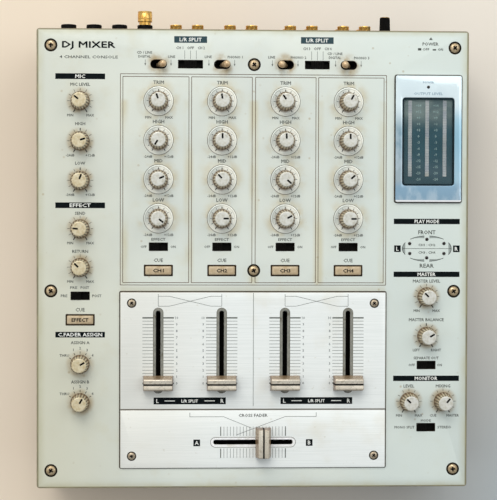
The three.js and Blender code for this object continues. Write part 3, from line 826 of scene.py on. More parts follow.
def build_dials():
    profile = [(4.6, 0.02), (DISC_R, 0.02), (DISC_R, 0.3), (10.8, 0.6), (10.3, 0.72), (9.9, 0.6),
               (9.6, 0.3), (4.6, 0.26)]
    mesh = mesh_of(one(turned, profile, 64, True), "dial", [DISC])
    ticks = Print("dial_ticks", DARK_INK, 0.27)
    for name in CHANNEL_KNOBS:
        x, y = middle(name)
        put(name.replace("knob", "dial"), mesh, (x, y, 0))
        ticks.dial(x, y, CHANNEL_SWEEP, (0, 5, 10), (7.6, 9.5), (7.6, 9.1), (0.6, 0.35))
    ticks.done()


def screw_mesh(radius, name, finish=STEEL):
    """Pan head with a cross recess, its flange at z = 0."""
    r = radius
    profile = [(0, -1.2), (r, -1.2), (r, 0.0), (r * 0.96, r * 0.12), (r * 0.8, r * 0.24), (r * 0.5, r * 0.32),
               (0, r * 0.34)]
    blades = []
    for turn in (0.5, 0.5 + math.pi / 2):
        blade = one(prism, rounded(0, 0, r, r * 0.34, r * 0.06, 1), r * -0.2, r)
        bmesh.ops.rotate(blade, matrix=Matrix.Rotation(turn, 3, "Z"), verts=blade.verts[:])
        blades.append(blade)
    return cut(mesh_of(one(turned, profile, 36), name, [finish]), *blades)


def sunk_screws(well_name, screw_name, places, top, mesh, well):
    """Screws turned at random in round wells whose profile starts from top."""
    for number, (x, y) in enumerate(places, 1):
        ring(f"{well_name}_{number}", well, WELL, (x, y, top))
        turn = Matrix.Rotation(random.uniform(0, math.pi), 4, "Z")
        put(f"{screw_name}_{number}", mesh, (x, y, top - 0.2), turn=turn)


def build_panel_screws():
    inner, outer = SCREW_R - 0.4, SCREW_WELL_R - 0.05
    well = [(inner, -1.15), (outer, -1.15), (outer, 0.04), (outer - 0.3, 0.04), (outer - 0.35, -0.8),
            (inner, -0.8)]
    sunk_screws("screw_well", "panel_screw", PANEL_SCREWS, 0, screw_mesh(SCREW_R, "screw"), well)
    inner = PLATE_SCREW_R - 0.3
    well = [(inner, -0.75), (3.6, -0.75), (3.6, 0.05), (3.3, 0.05), (3.2, -0.4), (inner, -0.4)]
    mesh = screw_mesh(PLATE_SCREW_R, "plate_screw", PLATE_STEEL)
    sunk_screws("plate_screw_well", "plate_screw", PLATE_SCREWS, PLATE_TOP, mesh, well)


# ---- fader plates


def plate_sheet(node, slots):
    """Brushed plate with stepped slots; slots lists (x, y, way), way -1 for a slot across."""
    low, high = extent(node)
    steps, through = bmesh.new(), bmesh.new()
    for x, y, way in slots:
        prism(steps, stadium(x, y, *SLOT_RECESS[::way]), high.z - 0.5, high.z + 1)
        prism(through, stadium(x, y, *SLOT_OPENING[::way]), low.z - 1, high.z + 1)
    for x, y in PLATE_SCREWS:
        if low.y < y < high.y:
            prism(steps, disc(x, y, 3.5, 28), high.z - 0.8, high.z + 1)
    sheet = one(prism, grown(plan(node), 0, 1.0, 3), low.z, high.z, bevel=(0.2, 2))
    mesh = cut(mesh_of(sheet, node + "_sheet", [PLATE]), steps, through)
    put(node + "_sheet", mesh, (0, 0, 0), stands_for=node)


def slot_liner(name, x, y, way, finish):
    """Bevelled ring that lines a fader slot, with a raised lip next to the opening."""
    profile = [(7.2, 64.8, -0.46), (7.2, 64.8, 0.02), (6.8, 64.4, 0.06), (6.4, 64.0, -0.2),
               (5.3, 62.6, -0.26), (5.0, 62.3, -0.02), (4.4, 61.7, 0.0), (3.7, 61.0, -0.3),
               (3.7, 61.0, -0.46)]
    loops = [[(px, py, PLATE_TOP + z) for px, py in stadium(x, y, *(width, length)[::way])]
             for width, length, z in profile]
    bm = bmesh.new()
    skin(bm, loops, join=True)
    piece(name, bm, finish)


def fader_scale(lines, numbers, x, side):
    """Twenty divisions and the numbers 0 to 10 beside one channel fader."""
    for step in range(21):
        y = -44.8 - 50 * step / 20
        for way in (-1, 1):
            lines.bar(x + way * 7.85, y, 8.3, 1.0 if step in (0, 20) else 0.3)
        if step % 2 == 0:
            numbers.words(str(10 - step // 2), x + side * 14.1, y, 1.9)


def cross_diagram(ink, x0, x1):
    """Lines from the channel strips that cross over between two faders."""
    rear, fork, join, out = -26.6, -28.3, -35.9, 8.4
    for x, far, way in ((x0, x1, 1), (x1, x0, -1)):
        ink.stroke([(x, rear), (x, fork), (x + way * out, fork)], 0.3)
        ink.stroke([(x + way * out, join), (x, join)], 0.3)
        ink.stroke([(x, fork), (x, join)], 0.3)
        ink.stroke([(x + way * out, fork), (far - way * out, join)], 0.3)


def crossfader_print(lines):
    """Title, lead lines and divisions of the crossfader."""
    lines.words("CROSS FADER", 0, -119.5, 2.2, 22)
    lines.stroke([(-48.4, -117.4), (-48.4, -120.5), (-22.6, -120.5), (-1, -129.4)], 0.3)
    lines.stroke([(48.4, -117.4), (48.4, -120.5), (24.5, -120.5), (-12.9, -134.6)], 0.3)
    for step in range(21):
        x = -24.8 + 49.6 * step / 20
        for way in (-1, 1):
            lines.bar(x, CROSS_SLOT_Y + way * 8.4, 0.7 if step in (0, 20) else 0.28, 7.2)


def plate_headers():
    """Dark bars and boxes on the plates with white words in them."""
    bars = Print("plate_header_bars", HEADER, PLATE_TOP)
    white = Print("plate_header_words", WHITE_INK, PLATE_TOP + 0.03)
    y = -108.3
    for x in (-48.5, 48.5):
        bars.bar(x, y, 55.1, 5.2)
        white.labels(x, y, ("L", -24.6, 0, 3.0), ("R", 24.8, 0, 3.0), ("L/R SPLIT", 0, -0.1, 2.2, 12.6))
        for way in (-1, 1):
            white.bar(x + way * 15.2, y, 7.8, 0.6)
    for text, x in (("A", -43.1), ("B", 43.1)):
        bars.bar(x, -140.5, 5.1, 5.1)
        white.words(text, x, -140.5, 3.0, bold=0.04)
    bars.done()
    white.done()


def plate_edges():
    """Dark ring that stands for the shaded gap round the pair of plates (painted shade), and fine dark
    outlines round their slots.
    """
    width = plan("crossfader_plate")[2]
    both = (0, (PLATE_FRONT_Y + PLATE_REAR_Y) / 2, width, PLATE_REAR_Y - PLATE_FRONT_Y)
    # painted shade: a dark ring put where the gap round the plates lies in shade
    gap = one(frame_ring, grown(both, 1.3, 1.4, 3), grown(both, -0.4, 0.8, 3), -0.1, 0.14, bevel=(0.05, 1))
    piece("plate_shadow_gap", gap, DARK)
    bm = bmesh.new()
    places = [(x, CHANNEL_SLOT_Y, *SLOT_RECESS) for x in CHANNEL_X] + [(0, CROSS_SLOT_Y, *SLOT_RECESS[::-1])]
    for x, y, across, along in places:
        frame_ring(bm, stadium(x, y, across + 0.6, along + 0.6), stadium(x, y, across - 0.04, along - 0.04),
                   PLATE_TOP - 0.03, PLATE_TOP + 0.06)
    piece("slot_outlines", bm, OUTLINE)


def build_plates():
    plate_sheet("channel_fader_plate", [(x, CHANNEL_SLOT_Y, 1) for x in CHANNEL_X])
    plate_sheet("crossfader_plate", [(0, CROSS_SLOT_Y, -1)])
    for i, x in zip(CHANNELS, CHANNEL_X):
        slot_liner(f"fader_slot_liner_ch{i}", x, CHANNEL_SLOT_Y, 1, TRENCH)
    slot_liner("crossfader_slot_liner", 0, CROSS_SLOT_Y, -1, PALE)
    lines = Print("plate_lines", INK, PLATE_TOP)
    numbers = Print("plate_numbers", GREY_INK, PLATE_TOP)
    for x, side in zip(CHANNEL_X, (1, -1, 1, -1)):
        fader_scale(lines, numbers, x, side)
    cross_diagram(lines, *CHANNEL_X[:2])
    cross_diagram(lines, *CHANNEL_X[2:])
    lines.stroke([(0, -25.8), (0, -112.3)], 0.35)
    crossfader_print(lines)
    lines.done()
    numbers.done()
    plate_edges()
    plate_headers()


# ---- moving controls


def range_middle(name):
    """Half-way angle of a hinge in radians, from its pose at rest."""
    return math.radians(sum(JOINTS[name]["range_deg"]) / 2)


def knob_mesh(name, plastic):
    """Fluted taper knob on a skirt, with its shaft, and a pointer that aims at +y."""
    skirt = [(3.0, -13.0, 0), (3.0, 1.25, 0), (6.9, 1.25, 0), (7.3, 1.45, 0), (7.3, 2.2, 0), (7.0, 2.7, 0)]
    body = [(6.95, 3.1, 0.2), (6.8, 4.2, 0.5), (6.4, 8.0, 0.5), (6.0, 11.5, 0.48), (5.8, 13.0, 0.4),
            (5.6, 13.8, 0.2), (5.4, 14.25, 0), (5.1, 14.45, 0), (4.6, 14.5, 0), (2.5, 14.42, 0)]
    bm = one(fluted, skirt + body, KNOB_FLUTES, 6)
    prism(bm, rounded(0, 2.85, 1.35, 4.1, 0.3, 2), 14.2, 14.56, finish=1)
    return mesh_of(bm, name, [plastic, POINTER], 50)


def build_knobs():
    mesh, aged_mesh = knob_mesh("knob", KNOB), knob_mesh("aged_knob", AGED_KNOB)
    for name in KNOBS:
        x, y = middle(name)
        turn = Matrix.Rotation(-range_middle(name), 4, "Z")
        put(name + "_cap", aged_mesh if x < AGED_X else mesh, (x, y, 0), name, turn, stands_for=name)


def fader_cap_mesh(base, top):
    """Wedge cap with a dished back and front, a line across its ridge, on a thin blade."""
    half_base, half_top = 11.4, 10.8
    section = [(-5.9, base), (-5.75, base + 1.2), (-4.3, top - 2.2), (-4.05, top - 0.5), (-3.6, top - 0.05),
               (-3.0, top), (-1.6, top - 0.3), (-0.6, top - 0.5)]
    section += [(-y, z) for y, z in section[::-1]]
    reach = [half_base + (half_top - half_base) * (z - base) / (top - base) for _, z in section]
    bm = bmesh.new()
    skin(bm, [[(side * x, y, z) for x, (y, z) in zip(reach, section)] for side in (-1, 1)])
    soften(bm, 0.35, 2, 25)
    line = [(half_top + 0.1, top - 0.25), (half_base + 0.02, base + 1.5), (half_base - 0.5, base + 1.5),
            (half_top - 0.6, top - 1.1)]
    line += [(-x, z) for x, z in line[::-1]]
    skin(bm, [[(x, y, z) for x, z in line] for y in (-0.6, 0.6)], finish=1)
    prism(bm, rounded(0, 0, 1.2, 4.5, 0.3, 1), -8.5, base + 1, finish=2)
    return mesh_of(bm, "fader_cap", [CAP, POINTER, STEEL], 40)


def build_faders():
    mesh = fader_cap_mesh(PLATE_TOP + 0.8, extent("fader_ch1")[1].z)
    for name in FADERS:
        put(name + "_cap", mesh, (*middle(name), 0), name, stands_for=name)
    turn = Matrix.Rotation(math.pi / 2, 4, "Z")
    put("crossfader_cap", mesh, (*middle("crossfader"), 0), "crossfader", turn, stands_for="crossfader")


def slider(name):
    """Switch knob with five ribs across its top."""
    width, depth = plan(name)[2:]
    low, high = extent(name)
    top, groove, pitch = high.z, high.z - 0.75, width / 5
    outline = [(-width / 2, low.z), (width / 2, low.z)]
    for rib in range(5):
        right = width / 2 - rib * pitch
        outline += [(right, top - 0.1), (right - 0.12, top), (right - pitch * 0.55, top),
                    (right - pitch * 0.62, groove), (right - pitch * 0.95, groove)]
    outline.append((-width / 2, groove))
    return one(skin, [[(px, py, z) for px, z in outline] for py in (-depth / 2, depth / 2)])


def build_switches():
    """Ribbed sliders and the dark liners of their slots."""
    for name in SWITCHES:
        piece(name + "_slider", slider(name), BLACK, (*middle(name), 0), name, 25, stands_for=name)
        x, y, width, depth = switch_slot(name)
        slot = (0, 0, width, depth)
        liner = one(frame_ring, grown(slot, -0.04, 0.3, 1), grown(slot, -0.5, 0.1, 1), -3.4, 0.08)
        piece(name + "_liner", liner, DARK, (x, y, 0))


def build_cues():
    """Crowned push buttons in dark frames; each word moves with its button."""
    hole = (0, 0, *CUE_HOLE)
    edges = grown(hole, -0.04, 0.6, 3), grown(hole, -2.1, 0.8, 3)
    for name in CUES:
        low, high = extent(name)
        place, top = (*middle(name), 0), high.z
        levels = [(0.0, -5.0), (0.0, top - 0.75), (0.35, top - 0.35), (1.0, top - 0.12), (2.2, top)]
        loops = [[(px, py, z) for px, py in rounded(0, 0, 19.8 - 2 * inset, 6.4 - 2 * inset, 0.7, 3)]
                 for inset, z in levels]
        bm = one(skin, loops)
        prism(bm, rounded(0, 0, 4, 4, 0.4, 1), low.z, -4.5)
        piece(name + "_cap", bm, BUTTON, place, name, 50, stands_for=name)
        label = Print(name + "_word", POINTER, top, name, 0.04)
        text, width = ("EFFECT", 12.6) if "effect" in name else (name[-3:].upper(), 8.0)
        label.words(text, 0, 0, 2.6, width, 0.1)
        label.done(place)
        piece(name + "_frame", one(frame_ring, *edges, -4.0, 0.15, bevel=(0.12, 1)), DARK, place)


def build_toggles():
    """Bat levers with turned necks and domed tips, in lined slots over dust plates."""
    profile = [(0, -2.0), (1.5, -1.3), (2.0, 0.0), (1.4, 1.3), (1.3, 1.9), (1.7, 2.6), (2.1, 5.0), (2.3, 7.5),
               (2.2, 7.7), (2.2, 8.1), (2.45, 9.6), (2.65, 11.8), (2.65, 13.2), (2.35, 14.5), (1.6, 15.2),
               (0.7, 15.55), (0, 15.6)]
    mesh = mesh_of(one(turned, profile, 28), "bat_lever", [BRASS], 40)
    width, depth = TOGGLE_HOLE
    liner = stadium(0, 0, width - 0.04, depth - 0.04), stadium(0, 0, width - 0.7, depth - 0.7), -2.6, 0.12
    dust_plate = stadium(0, 0, 13.6, 8.4), stadium(0, 0, 9.0, 3.4), -6.4, -5.2
    for name, x in zip(TOGGLES, CHANNEL_X):
        pivot = (Vector(JOINTS[name]["pos_m"]) - CENTRE) / MM
        lean = Matrix.Rotation(-range_middle(name), 4, "Y")
        put(name + "_lever", mesh, pivot, name, lean, stands_for=name)
        piece(name + "_slot_liner", one(frame_ring, *liner), DARK, (x, TOGGLE_Y, 0))
        piece(name + "_dust_plate", one(frame_ring, *dust_plate), BLACK, (x, TOGGLE_Y, 0))


# ---- level meter


def build_meter():
    """Surround, pane and seals, over three columns of segments with figures between them."""
    surround = one(frame_ring, grown(BEZEL, -0.7, 1.3), grown(PANE, 0.6, 2.3), BEZEL_LOW.z, BEZEL_HIGH.z,
                   bevel=(0.4, 3))
    piece("meter_surround", surround, SURROUND, stands_for="meter_bezel")
    pane = one(prism, grown(PANE, -1.8, 1.6), 1.5, PANE_TOP, bevel=(0.15, 1))
    piece("meter_pane", pane, WINDOW, stands_for="meter_window")
    gasket = one(frame_ring, grown(PANE, 0.4, 2.2), grown(PANE, -1.8, 1.6), 0.3, PANE_TOP + 0.15,
                 bevel=(0.15, 1))
    piece("meter_gasket", gasket, GASKET)
    seal = one(frame_ring, grown(BEZEL, 1.2, 2.0), grown(BEZEL, -0.8, 1.3), -0.2, 0.35, bevel=(0.12, 2))
    piece("meter_seal", seal, SEAL)
    piece("meter_backing", one(prism, grown(PANE, -2, 1, 2), 0.25, 0.5, bevel=(0.08, 1)), BACKING)
    bm = bmesh.new()
    for x in METER_BAR_X:
        for step in range(SEGMENT_COUNT):
            prism(bm, rounded(x, SEGMENT_TOP_Y - SEGMENT_PITCH * step, 2.8, 1.82, 0.1, 1), 0.4, 0.9)
    piece("meter_segments", bm, SEGMENT)
    figures = Print("meter_figures", FIGURE, 0.5, height=0.08)
    values = ("+14", "+12", "+9", "+6", "+3", "0", "-3", "-6", "-9", "-12", "-15", "-20", "-24")
    for step, value in enumerate(values):
        for x in METER_FIGURE_X:
            figures.words(value, x, FIGURE_TOP_Y - FIGURE_PITCH * step, 1.9, bold=0.08)
    figures.done()
    x = BEZEL[0] - 0.4
    words = Print("meter_words", FAINT_INK, BEZEL_HIGH.z)
    words.labels(x, 0, ("OUTPUT LEVEL", 0, 126.9, 1.9, 22), ("POWER", 0, 135.5, 1.5, 8.4))
    words.done()
    dome = [(0, -0.6), (1.15, -0.6), (1.15, 0.1), (0.9, 0.4), (0.4, 0.55), (0, 0.58)]
    piece("meter_power_lamp", one(turned, dome, 24), LAMP, (x, 131.9, BEZEL_HIGH.z))


# ---- legends


def channel_legends():
    ink = Print("legends_channels", INK)
    for i in CHANNELS:
        for row in EQ_ROWS:
            least, most = ("MIN", "MAX") if row == "trim" else ("-24dB", "+12dB")
            ink.labels(*middle(f"knob_ch{i}_{row}"), (row.upper(), 0, 14.1, 2.6), (least, -7.9, -12.5, 1.9),
                       (most, 7.9, -12.5, 1.9))
        x, y, *_ = switch_slot(f"switch_effect_ch{i}")
        ink.labels(x, y, ("EFFECT", 0, 5.6, 2.0, 10.6), ("OFF", -11.2, 0, 1.8), ("ON", 11.2, 0, 1.8))
        ink.labels(*middle(f"cue_ch{i}"), ("CUE", 0, 7.8, 2.6))
    ink.done()


def side_legends():
    ink = Print("legends_side_columns", INK)
    marks = Print("side_dial_ticks", DARK_INK)
    rows = (
        ("mic_level", "MIC LEVEL", 12.6, "MIN", "MAX"),
        ("mic_high", "HIGH", 13.2, "-24dB", "+12dB"),
        ("mic_low", "LOW", 13.2, "-24dB", "+12dB"),
        ("effect_send", "SEND", 11.8, "MIN", "MAX"),
        ("effect_return", "RETURN", 12.1, "MIN", "MAX"),
        ("master_level", "MASTER LEVEL", 12.0, "MIN", "MAX"),
        ("master_balance", "MASTER BALANCE", 12.6, "LEFT", "RIGHT"),
        ("monitor_level", "LEVEL", 11.9, "MIN", "MAX"),
        ("monitor_mixing", "MIXING", 11.9, "CUE", "MASTER"),
    )
    for knob, text, above, left, right in rows:
        x, y = middle("knob_" + knob)
        ink.labels(x, y, (text, 0, above, 2.3), (left, -7.6, -10.8, 1.9), (right, 7.6, -10.8, 1.9))
        heavy = (0, 10) if left in ("MIN", "CUE") else (0, 5, 10)
        marks.dial(x, y, SIDE_SWEEP, heavy, (7.5, 9.9), (7.9, 9.9), (0.75, 0.3))
    places = (("THRU", -12, 6.5, 1.95), ("1", -5.1, 10.8, 1.95), ("2", 0, 12.1, 1.95), ("3", 5.3, 10.6, 1.95),
              ("4", 9.4, 6.6, 1.95))
    for knob, text, above in (("assign_a", "ASSIGN A", 16.3), ("assign_b", "ASSIGN B", 15.6)):
        x, y = middle("knob_" + knob)
        ink.labels(x, y, (text, 0, above, 2.3), *places)
        for turn in (-60, -30, 0, 30, 60):
            marks.tick(x, y, turn, 7.9, 9.6, 0.45)
    marks.done()
    ink.done()


def toggle_legends(ink):
    """Input names and arrows beside the toggles."""
    names = (("CD / LINE", "DIGITAL", "LINE"), ("LINE", None, "PHONO 1"), ("LINE", None, "PHONO 2"),
             ("CD / LINE", "DIGITAL", "PHONO 3"))
    for x, (left, second, right) in zip(CHANNEL_X, names):
        rows = [(left, -10.7, 8.7 if second else 5.7, 1.9), (right, 9.8, 5.6, 1.9)]
        if second:
            rows.append((second, -10.7, 5.7, 1.9, 9.3))
        ink.labels(x, TOGGLE_Y, *rows)
        for tip in (x - 10.2, x + 9.4):
            ink.stroke([(tip, TOGGLE_Y + 3.4), (tip, TOGGLE_Y - 0.4)], 0.28)
            ink.shape([(tip - 0.6, TOGGLE_Y + 0.4), (tip, TOGGLE_Y - 1.4), (tip + 0.6, TOGGLE_Y + 0.4)])


def switch_legends():
    ink = Print("legends_switches", INK)
    rows = {
        "pre_post": (("PRE", -4.9, 6.3, 1.9, 5.2), ("POST", 3.6, 6.3, 1.9, 6.4), ("PRE", -12.2, 0, 2.0, 4.8),
                     ("POST", 12.7, 0, 2.0, 6.8)),
        "separate_out": (("SEPARATE OUT", 0, 5.4, 2.0, 19.3), ("OFF", -11.1, 0, 1.9, 4.9),
                         ("ON", 10.3, 0, 1.9, 3.6)),
        "monitor_mode": (("MODE", 0, 5.1, 1.8, 7.6), ("MONO SPLIT", -16.5, 0, 1.9, 15.4),
                         ("STEREO", 14.3, 0, 1.9, 10.4)),
    }
    for name, words in rows.items():
        x, y, *_ = switch_slot("switch_" + name)
        ink.labels(x, y, *words)
    ink.labels(*middle("cue_effect"), ("CUE", 0, 7.7, 2.6))
    for x, first in ((-SPLIT_X, 1), (SPLIT_X, 3)):
        for dx, lead, text in ((-8.2, -4.4, f"CH {first}"), (0, 0, "OFF"), (8.2, 4.4, f"CH {first + 1}")):
            ink.words(text, x + dx, TOGGLE_Y + 12.4, 2.0, 5.2)
            ink.stroke([(x + lead, TOGGLE_Y + 3.8), (x + lead, TOGGLE_Y + 10.4)], 0.28)
    toggle_legends(ink)
    ink.labels(0, 0, ("POWER", 135.3, 165.1, 2.4, 12.2), ("OFF", 131.8, 161, 1.9, 5.0),
               ("ON", 143.0, 161, 1.9, 3.8))
    ink.shape([(134.2, 168.2), (137.0, 168.2), (135.6, 170.2)])
    ink.bar(126.9, 161, 2.6, 1.8)
    ink.bar(138.3, 160.7, 2.6, 1.1)
    ink.done()


def header_print():
    bars = Print("header_bars", HEADER)
    slate = Print("split_header_bars", SLATE)
    white = Print("header_words", WHITE_INK, 0.03)
    rows = (
        (bars, "MIC", LEFT_X, 138.7, 37.6, 4.3, 7.3),
        (bars, "EFFECT", LEFT_X, 40.8, 37.6, 4.3, 15.8),
        (bars, "C.FADER ASSIGN", LEFT_X, -57.7, 37.6, 4.3, 33.4),
        (bars, "PLAY MODE", RIGHT_X, 29.2, 50.9, 4.1, 18.8),
        (bars, "MASTER", RIGHT_X, -11.4, 50.9, 4.1, 13.8),
        (bars, "MONITOR", RIGHT_X, -91.5, 50.9, 4.1, 17.4),
        (slate, "L/R SPLIT", -48.3, 167.1, 25, 5, 16.8),
        (slate, "L/R SPLIT", 48.3, 167.1, 25, 5, 16.8),
    )
    for ground, text, x, y, width, depth, spread in rows:
        ground.bar(x, y, width, depth)
        white.words(text, x, y, 2.7, spread)
    for text, x in (("L", 110.6), ("R", 156.1)):
        bars.bar(x, 8.25, 5.1, 5.1)
        white.words(text, x, 8.25, 3.0, bold=0.04)
    bars.done()
    slate.done()
    white.done()


def title_print():
    """Generic title in the rear left corner."""
    for name, finish, row in (("title_words", HEADER, ("DJ MIXER", 0, 162.0, 4.7, 40, 0.09)),
                              ("title_line", INK, ("4 CHANNEL CONSOLE", 0, 153.4, 2.1, 44))):
        title = Print(name, finish)
        title.labels(-125.6, 0, row)
        title.done()


def play_mode():
    """Oval diagram of the playing channels with six small lamps."""
    cx, cy, rx, ry = RIGHT_X + 0.1, 8.35, 18.9, 9.8
    ink = Print("play_mode_diagram", DARK_INK)
    shade = Print("play_mode_shading", PALE_INK, -0.02)

    def arc(start, end, steps=14):
        bends = [math.radians(start + (end - start) * i / steps) for i in range(steps + 1)]
        return [(cx + rx * math.cos(t), cy + ry * math.sin(t)) for t in bends]

    for start, end in ((96, 133), (84, 47), (-84, -47), (-96, -133)):
        outer = arc(start, end)
        last = len(outer) - 1
        inner = [(x, y - math.copysign(1.8, start) * (1 - i / last)) for i, (x, y) in enumerate(outer)]
        shade.shape(outer + inner[-2::-1])
        ink.stroke(outer, 0.4)
    for start, end in ((-28, 28), (152, 208)):
        shade.shape(arc(start, end))
        ink.stroke(arc(start, end), 0.45)
    ink.stroke([(cx - 18.6, cy), (cx + 18.6, cy)], 0.3)
    ink.done()
    shade.done()
    words = Print("play_mode_words", INK)
    words.labels(cx, 0, ("CH1 : CH2", 0, 11.15, 1.8, 13.0), ("CH3 : CH4", 0, 5.4, 1.8, 13.0),
                 ("FRONT", 0, 20.9, 3.0, 13.2), ("REAR", 0, -4.8, 3.0, 10.7))
    words.done()
    dome = [(0, -0.3), (1.3, -0.3), (1.3, 0.12), (1.05, 0.35), (0.5, 0.5), (0, 0.52)]
    mesh = mesh_of(one(turned, dome, 24), "mode_lamp", [LAMP])
    for number, (x, y) in enumerate(LAMPS, 1):
        put(f"mode_lamp_{number}", mesh, (x, y, 0))


# ---- case and connectors


def dress_node(name, finish, width=None):
    """Gives a CAD piece that stays as it is its material, and rounds its edges by width."""
    node = frame["nodes"][name]
    node.data.materials.clear()
    node.data.materials.append(finish)
    if width:
        bevel = node.modifiers.new("edges", "BEVEL")
        bevel.width = width * MM
        bevel.segments = 2
        bevel.limit_method = "ANGLE"
        bevel.angle_limit = math.radians(40)


def case_screw_places():
    """Origins and turns of the screws in the side, rear, front and bottom sheets."""
    wall_z = (-12, BENCH + 22)
    under = Matrix.Rotation(math.pi, 4, "X")
    places = []
    for sx in (-1, 1):
        outward = Matrix.Rotation(sx * math.pi / 2, 4, "Y")
        places += [((sx * SIDE_X, y, z), outward) for y in (-150, -50, 50, 150) for z in wall_z]
    places += [((x, REAR_Y, z), REARWARD) for x in (-157, 157) for z in wall_z]
    places += [((x, -REAR_Y, z), FORWARD) for x in (-150, 0, 150) for z in wall_z]
    return places + [((x, y, BENCH + 10), under) for x in (-110, 0, 110) for y in (-130, 130)]


def build_feet():
    """Moulded rim and pad round the middle of each rubber foot."""
    rim = [(11.6, 3.0), (12.4, 3.0), (13.3, 8.6), (13.3, 9.4), (12.6, 9.6), (11.8, 9.0)]
    pad = [(3.4, 0.02), (10.8, 0.02), (10.4, 0.5), (3.8, 0.5)]
    for number, (x, y) in enumerate(FEET, 1):
        ring(f"foot_rim_{number}", rim, RUBBER, (x, y, BENCH), 48)
        ring(f"foot_pad_{number}", pad, RUBBER, (x, y, BENCH), 40)


def rear_print():
    """White lettering above the rear connectors and beside the headphone socket."""
    ink = Print("rear_words", WHITE_INK)
    groups = ((-134, "MIC 1   MIC 2"), (-94, "EFFECT"), (-51.2, "MASTER OUT"), (-8.6, "CH 1"), (39.1, "CH 2"),
              (81, "CH 3   CH 4"), (GROUND_X, "GND"), (INLET_X, "POWER"))
    ink.labels(0, 0, *((text, -x, 0, 2.6) for x, text in groups))
    ink.done((0, REAR_Y, JACK_Z + 15), Matrix.Rotation(math.pi, 4, "Z") @ FORWARD)
    ink = Print("front_words", WHITE_INK)
    ink.words("PHONES", 0, 0, 2.8)
    ink.done((PHONES_X, -REAR_Y, PHONES_Z + 12), FORWARD)


def build_case():
    dress_node("chassis", CHASSIS, 0.4)
    dress_node("control_board", CIRCUIT)
    dress_node("jack_board", SOCKETS)
    dress_node("power_module", BLACK, 0.5)
    mesh = screw_mesh(3.0, "case_screw")
    for number, (origin, turn) in enumerate(case_screw_places(), 1):
        put(f"case_screw_{number}", mesh, origin, turn=turn)
    build_feet()
    rear_print()


def rear_ring(name, profile, x, z, finish, sides=32):
    ring(name, profile, finish, (x, REAR_Y, z), sides, REARWARD)


def build_jacks():
    """Washers, nuts and threaded sleeves of the jack sockets, the last one plated."""
    washer = [(5.6, 0.02), (9.0, 0.02), (9.0, 0.7), (8.7, 0.9), (5.6, 0.9)]
    nut = [(5.6, 0.9), (8.0, 0.9), (8.0, 3.2), (7.4, 3.5), (5.6, 3.5)]
    sleeve = [(5.52, 0.5), (6.0, 0.5), (6.0, 8.2), (5.7, 8.75), (3.35, 8.75), (3.35, 8.62), (5.52, 8.62)]
    for number, x in enumerate(JACK_X, 1):
        rear_ring(f"jack_washer_{number}", washer, x, JACK_Z, STEEL)
        rear_ring(f"jack_nut_{number}", nut, x, JACK_Z, BLACK if number < 4 else GOLD, 6)
        rear_ring(f"jack_sleeve_{number}", sleeve, x, JACK_Z, BLACK)


def build_phonos():
    """Plated sleeves with white insulators in the upper row and red ones in the lower."""
    sleeve = [(4.2, 0.02), (6.4, 0.02), (6.4, 0.8), (4.75, 0.95), (4.6, 8.2), (4.75, 8.5), (4.6, 9.1),
              (4.2, 9.1)]
    insulator = [(1.75, 9.02), (4.15, 9.02), (4.15, 9.3), (3.6, 9.45), (1.75, 9.35)]
    for row, (z, finish) in enumerate(zip(PHONO_Z, (SOCKET_WHITE, SOCKET_RED)), 1):
        for number, x in enumerate(PHONO_X, 1):
            rear_ring(f"phono_sleeve_{row}_{number}", sleeve, x, z, GOLD)
            rear_ring(f"phono_insulator_{row}_{number}", insulator, x, z, finish)


def build_adapter():
    barrel = [(1.95, 11.3), (5.3, 11.3), (5.65, 11.7), (5.65, 13.2), (5.4, 13.4), (5.4, 13.8), (5.65, 14.0),
              (5.65, 17.6), (5.3, 18.2), (4.4, 18.5), (4.0, 19.0), (3.3, 19.45), (1.95, 19.45)]
    rear_ring("adapter_barrel", barrel, JACK_X[-1], JACK_Z, GOLD)
    neck = [(4.22, 8.8), (4.5, 8.9), (4.5, 11.2), (4.22, 11.3)]
    rear_ring("adapter_neck", neck, JACK_X[-1], JACK_Z, GOLD)


def build_ground_terminal():
    profile = [(4.22, 1.1, 0), (4.47, 1.4, 0.3), (4.32, 6, 0.3), (4.02, 14.8, 0.3), (3.87, 16.0, 0.1),
               (3.32, 16.6, 0), (1.52, 16.7, 0)]
    bm = one(fluted, profile, TERMINAL_FLUTES, 4)
    piece("ground_terminal_knob", bm, BLACK, (GROUND_X, REAR_Y, JACK_Z), facing=REARWARD)


def build_power():
    """Inlet screws, and the power button in its frame."""
    mesh = screw_mesh(1.9, "inlet_screw")
    for number, side in enumerate((-1, 1), 1):
        put(f"inlet_screw_{number}", mesh, (INLET_X + side * 13.9, REAR_Y + 2.5, INLET_Z + 9), turn=REARWARD)
    low, high = extent("power_button")
    x, z = (low.x + high.x) / 2, (low.z + high.z) / 2
    tip = high.y - low.y
    outline = rounded(0, 0, high.x - low.x, high.z - low.z, 0.9, 3)
    crown = ((1, 0), (1, tip - 0.9), (0.96, tip - 0.35), (0.88, tip - 0.05), (0.7, tip - 0.2))
    bm = one(skin, [[(px * share, py * share, depth) for px, py in outline] for share, depth in crown])
    piece("power_button_cap", bm, BLACK, (x, low.y, z), "power_button", facing=REARWARD,
          stands_for="power_button")
    bm = one(frame_ring, rounded(0, 0, 15, 12, 1.6, 3), rounded(0, 0, 11.2, 8.2, 1.0, 3), 0.02, 1.2,
             bevel=(0.3, 2))
    piece("power_button_frame", bm, BLACK, (x, REAR_Y, z), facing=REARWARD)


def build_phones_socket():
    place = (PHONES_X, -REAR_Y, PHONES_Z)
    nut = [(5.5, 0.02), (7.6, 0.02), (7.6, 1.9), (7.1, 2.3), (5.5, 2.3)]
    ring("phones_nut", nut, STEEL, place, 6, FORWARD)
    sleeve = [(3.3, 0.2), (5.45, 0.2), (5.45, 2.9), (5.1, 3.2), (3.6, 3.2), (3.3, 2.9)]
    ring("phones_sleeve", sleeve, STEEL, place, facing=FORWARD)


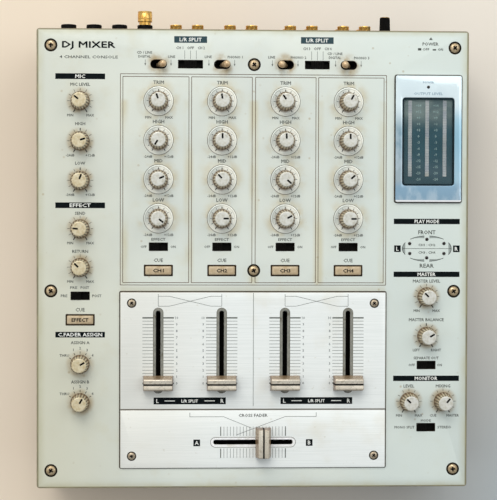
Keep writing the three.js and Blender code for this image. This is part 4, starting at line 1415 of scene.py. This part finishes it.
# ---- stage


def build_floor():
    """Warm table top, cooler towards the right as painted window light, with a painted shadow of the mixer
    that turns it greyer and darker towards the front right.
    """
    s = Shader("floor", "#f4e4ce", roughness=0.9)
    x, y = s.axes[:2]
    s.tint("#f0dfc8", s.patch(0.004, 3, 0.35, 0.65))
    # painted light: a cooler tone towards the right, for the window light there
    s.tint("#efe6d8", s.span(x, -120, 100))
    away = s.vector("LENGTH", [s.vector("SUBTRACT", (s.place, (230, -200, 0)))])
    # painted shadow: a grey-blue pool towards the front right, fading with distance
    s.tint("#a9b5ba", s.span(x, 40, 270), s.span(y, 70, -250), s.span(away, 750, 200))
    s.relief(0.8, 0.1, 0.05)
    reach = 3.0
    mesh = bpy.data.meshes.new("floor")
    corners = [(-reach, -reach, 0), (reach, -reach, 0), (reach, reach, 0), (-reach, reach, 0)]
    mesh.from_pydata(corners, [], [(0, 1, 2, 3)])
    mesh.materials.append(s.done())
    placed("floor", mesh)


def area_light(name, place, size, power, tint):
    light = bpy.data.lights.new(name, "AREA")
    light.shape = "SQUARE"
    light.size = size
    light.energy = power
    light.color = tint
    lamp = placed(name, light)
    lamp.location = place
    lamp.rotation_euler = (CENTRE - Vector(place)).to_track_quat("-Z", "Y").to_euler()


def build_lights():
    world = bpy.data.worlds.new("soft_sky")
    world.use_nodes = True
    sky = world.node_tree.nodes["Background"].inputs
    sky["Color"].default_value = colour("#e8eef4")
    sky["Strength"].default_value = 0.4
    SCENE.world = world
    area_light("key", (-0.5, 1.8, 2.2), 1.8, 47.5, (1.0, 0.98, 0.95))
    area_light("right_window", (1.3, 0.8, 1.8), 1.9, 15, (0.93, 0.97, 1.0))
    area_light("left_fill", (-1.6, 0.2, 1.4), 1.9, 9, (1.0, 0.97, 0.93))


def build_camera():
    camera = placed("camera", bpy.data.cameras.new("camera"))
    camera.data.lens = 108
    camera.data.sensor_width = 36
    camera.location = CENTRE + Vector((-0.0531, 0.0319, 1.1452))
    camera.rotation_euler = [math.radians(a) for a in (-1.25, -2.46, 0.16)]
    SCENE.camera = camera


build_camera()
build_lights()
build_floor()
build_panel()
build_dials()
build_panel_screws()
build_plates()
build_knobs()
build_faders()
build_switches()
build_cues()
build_toggles()
build_meter()
channel_legends()
side_legends()
switch_legends()
header_print()
title_print()
play_mode()
build_case()
build_jacks()
build_phonos()
build_adapter()
build_ground_terminal()
build_power()
build_phones_socket()
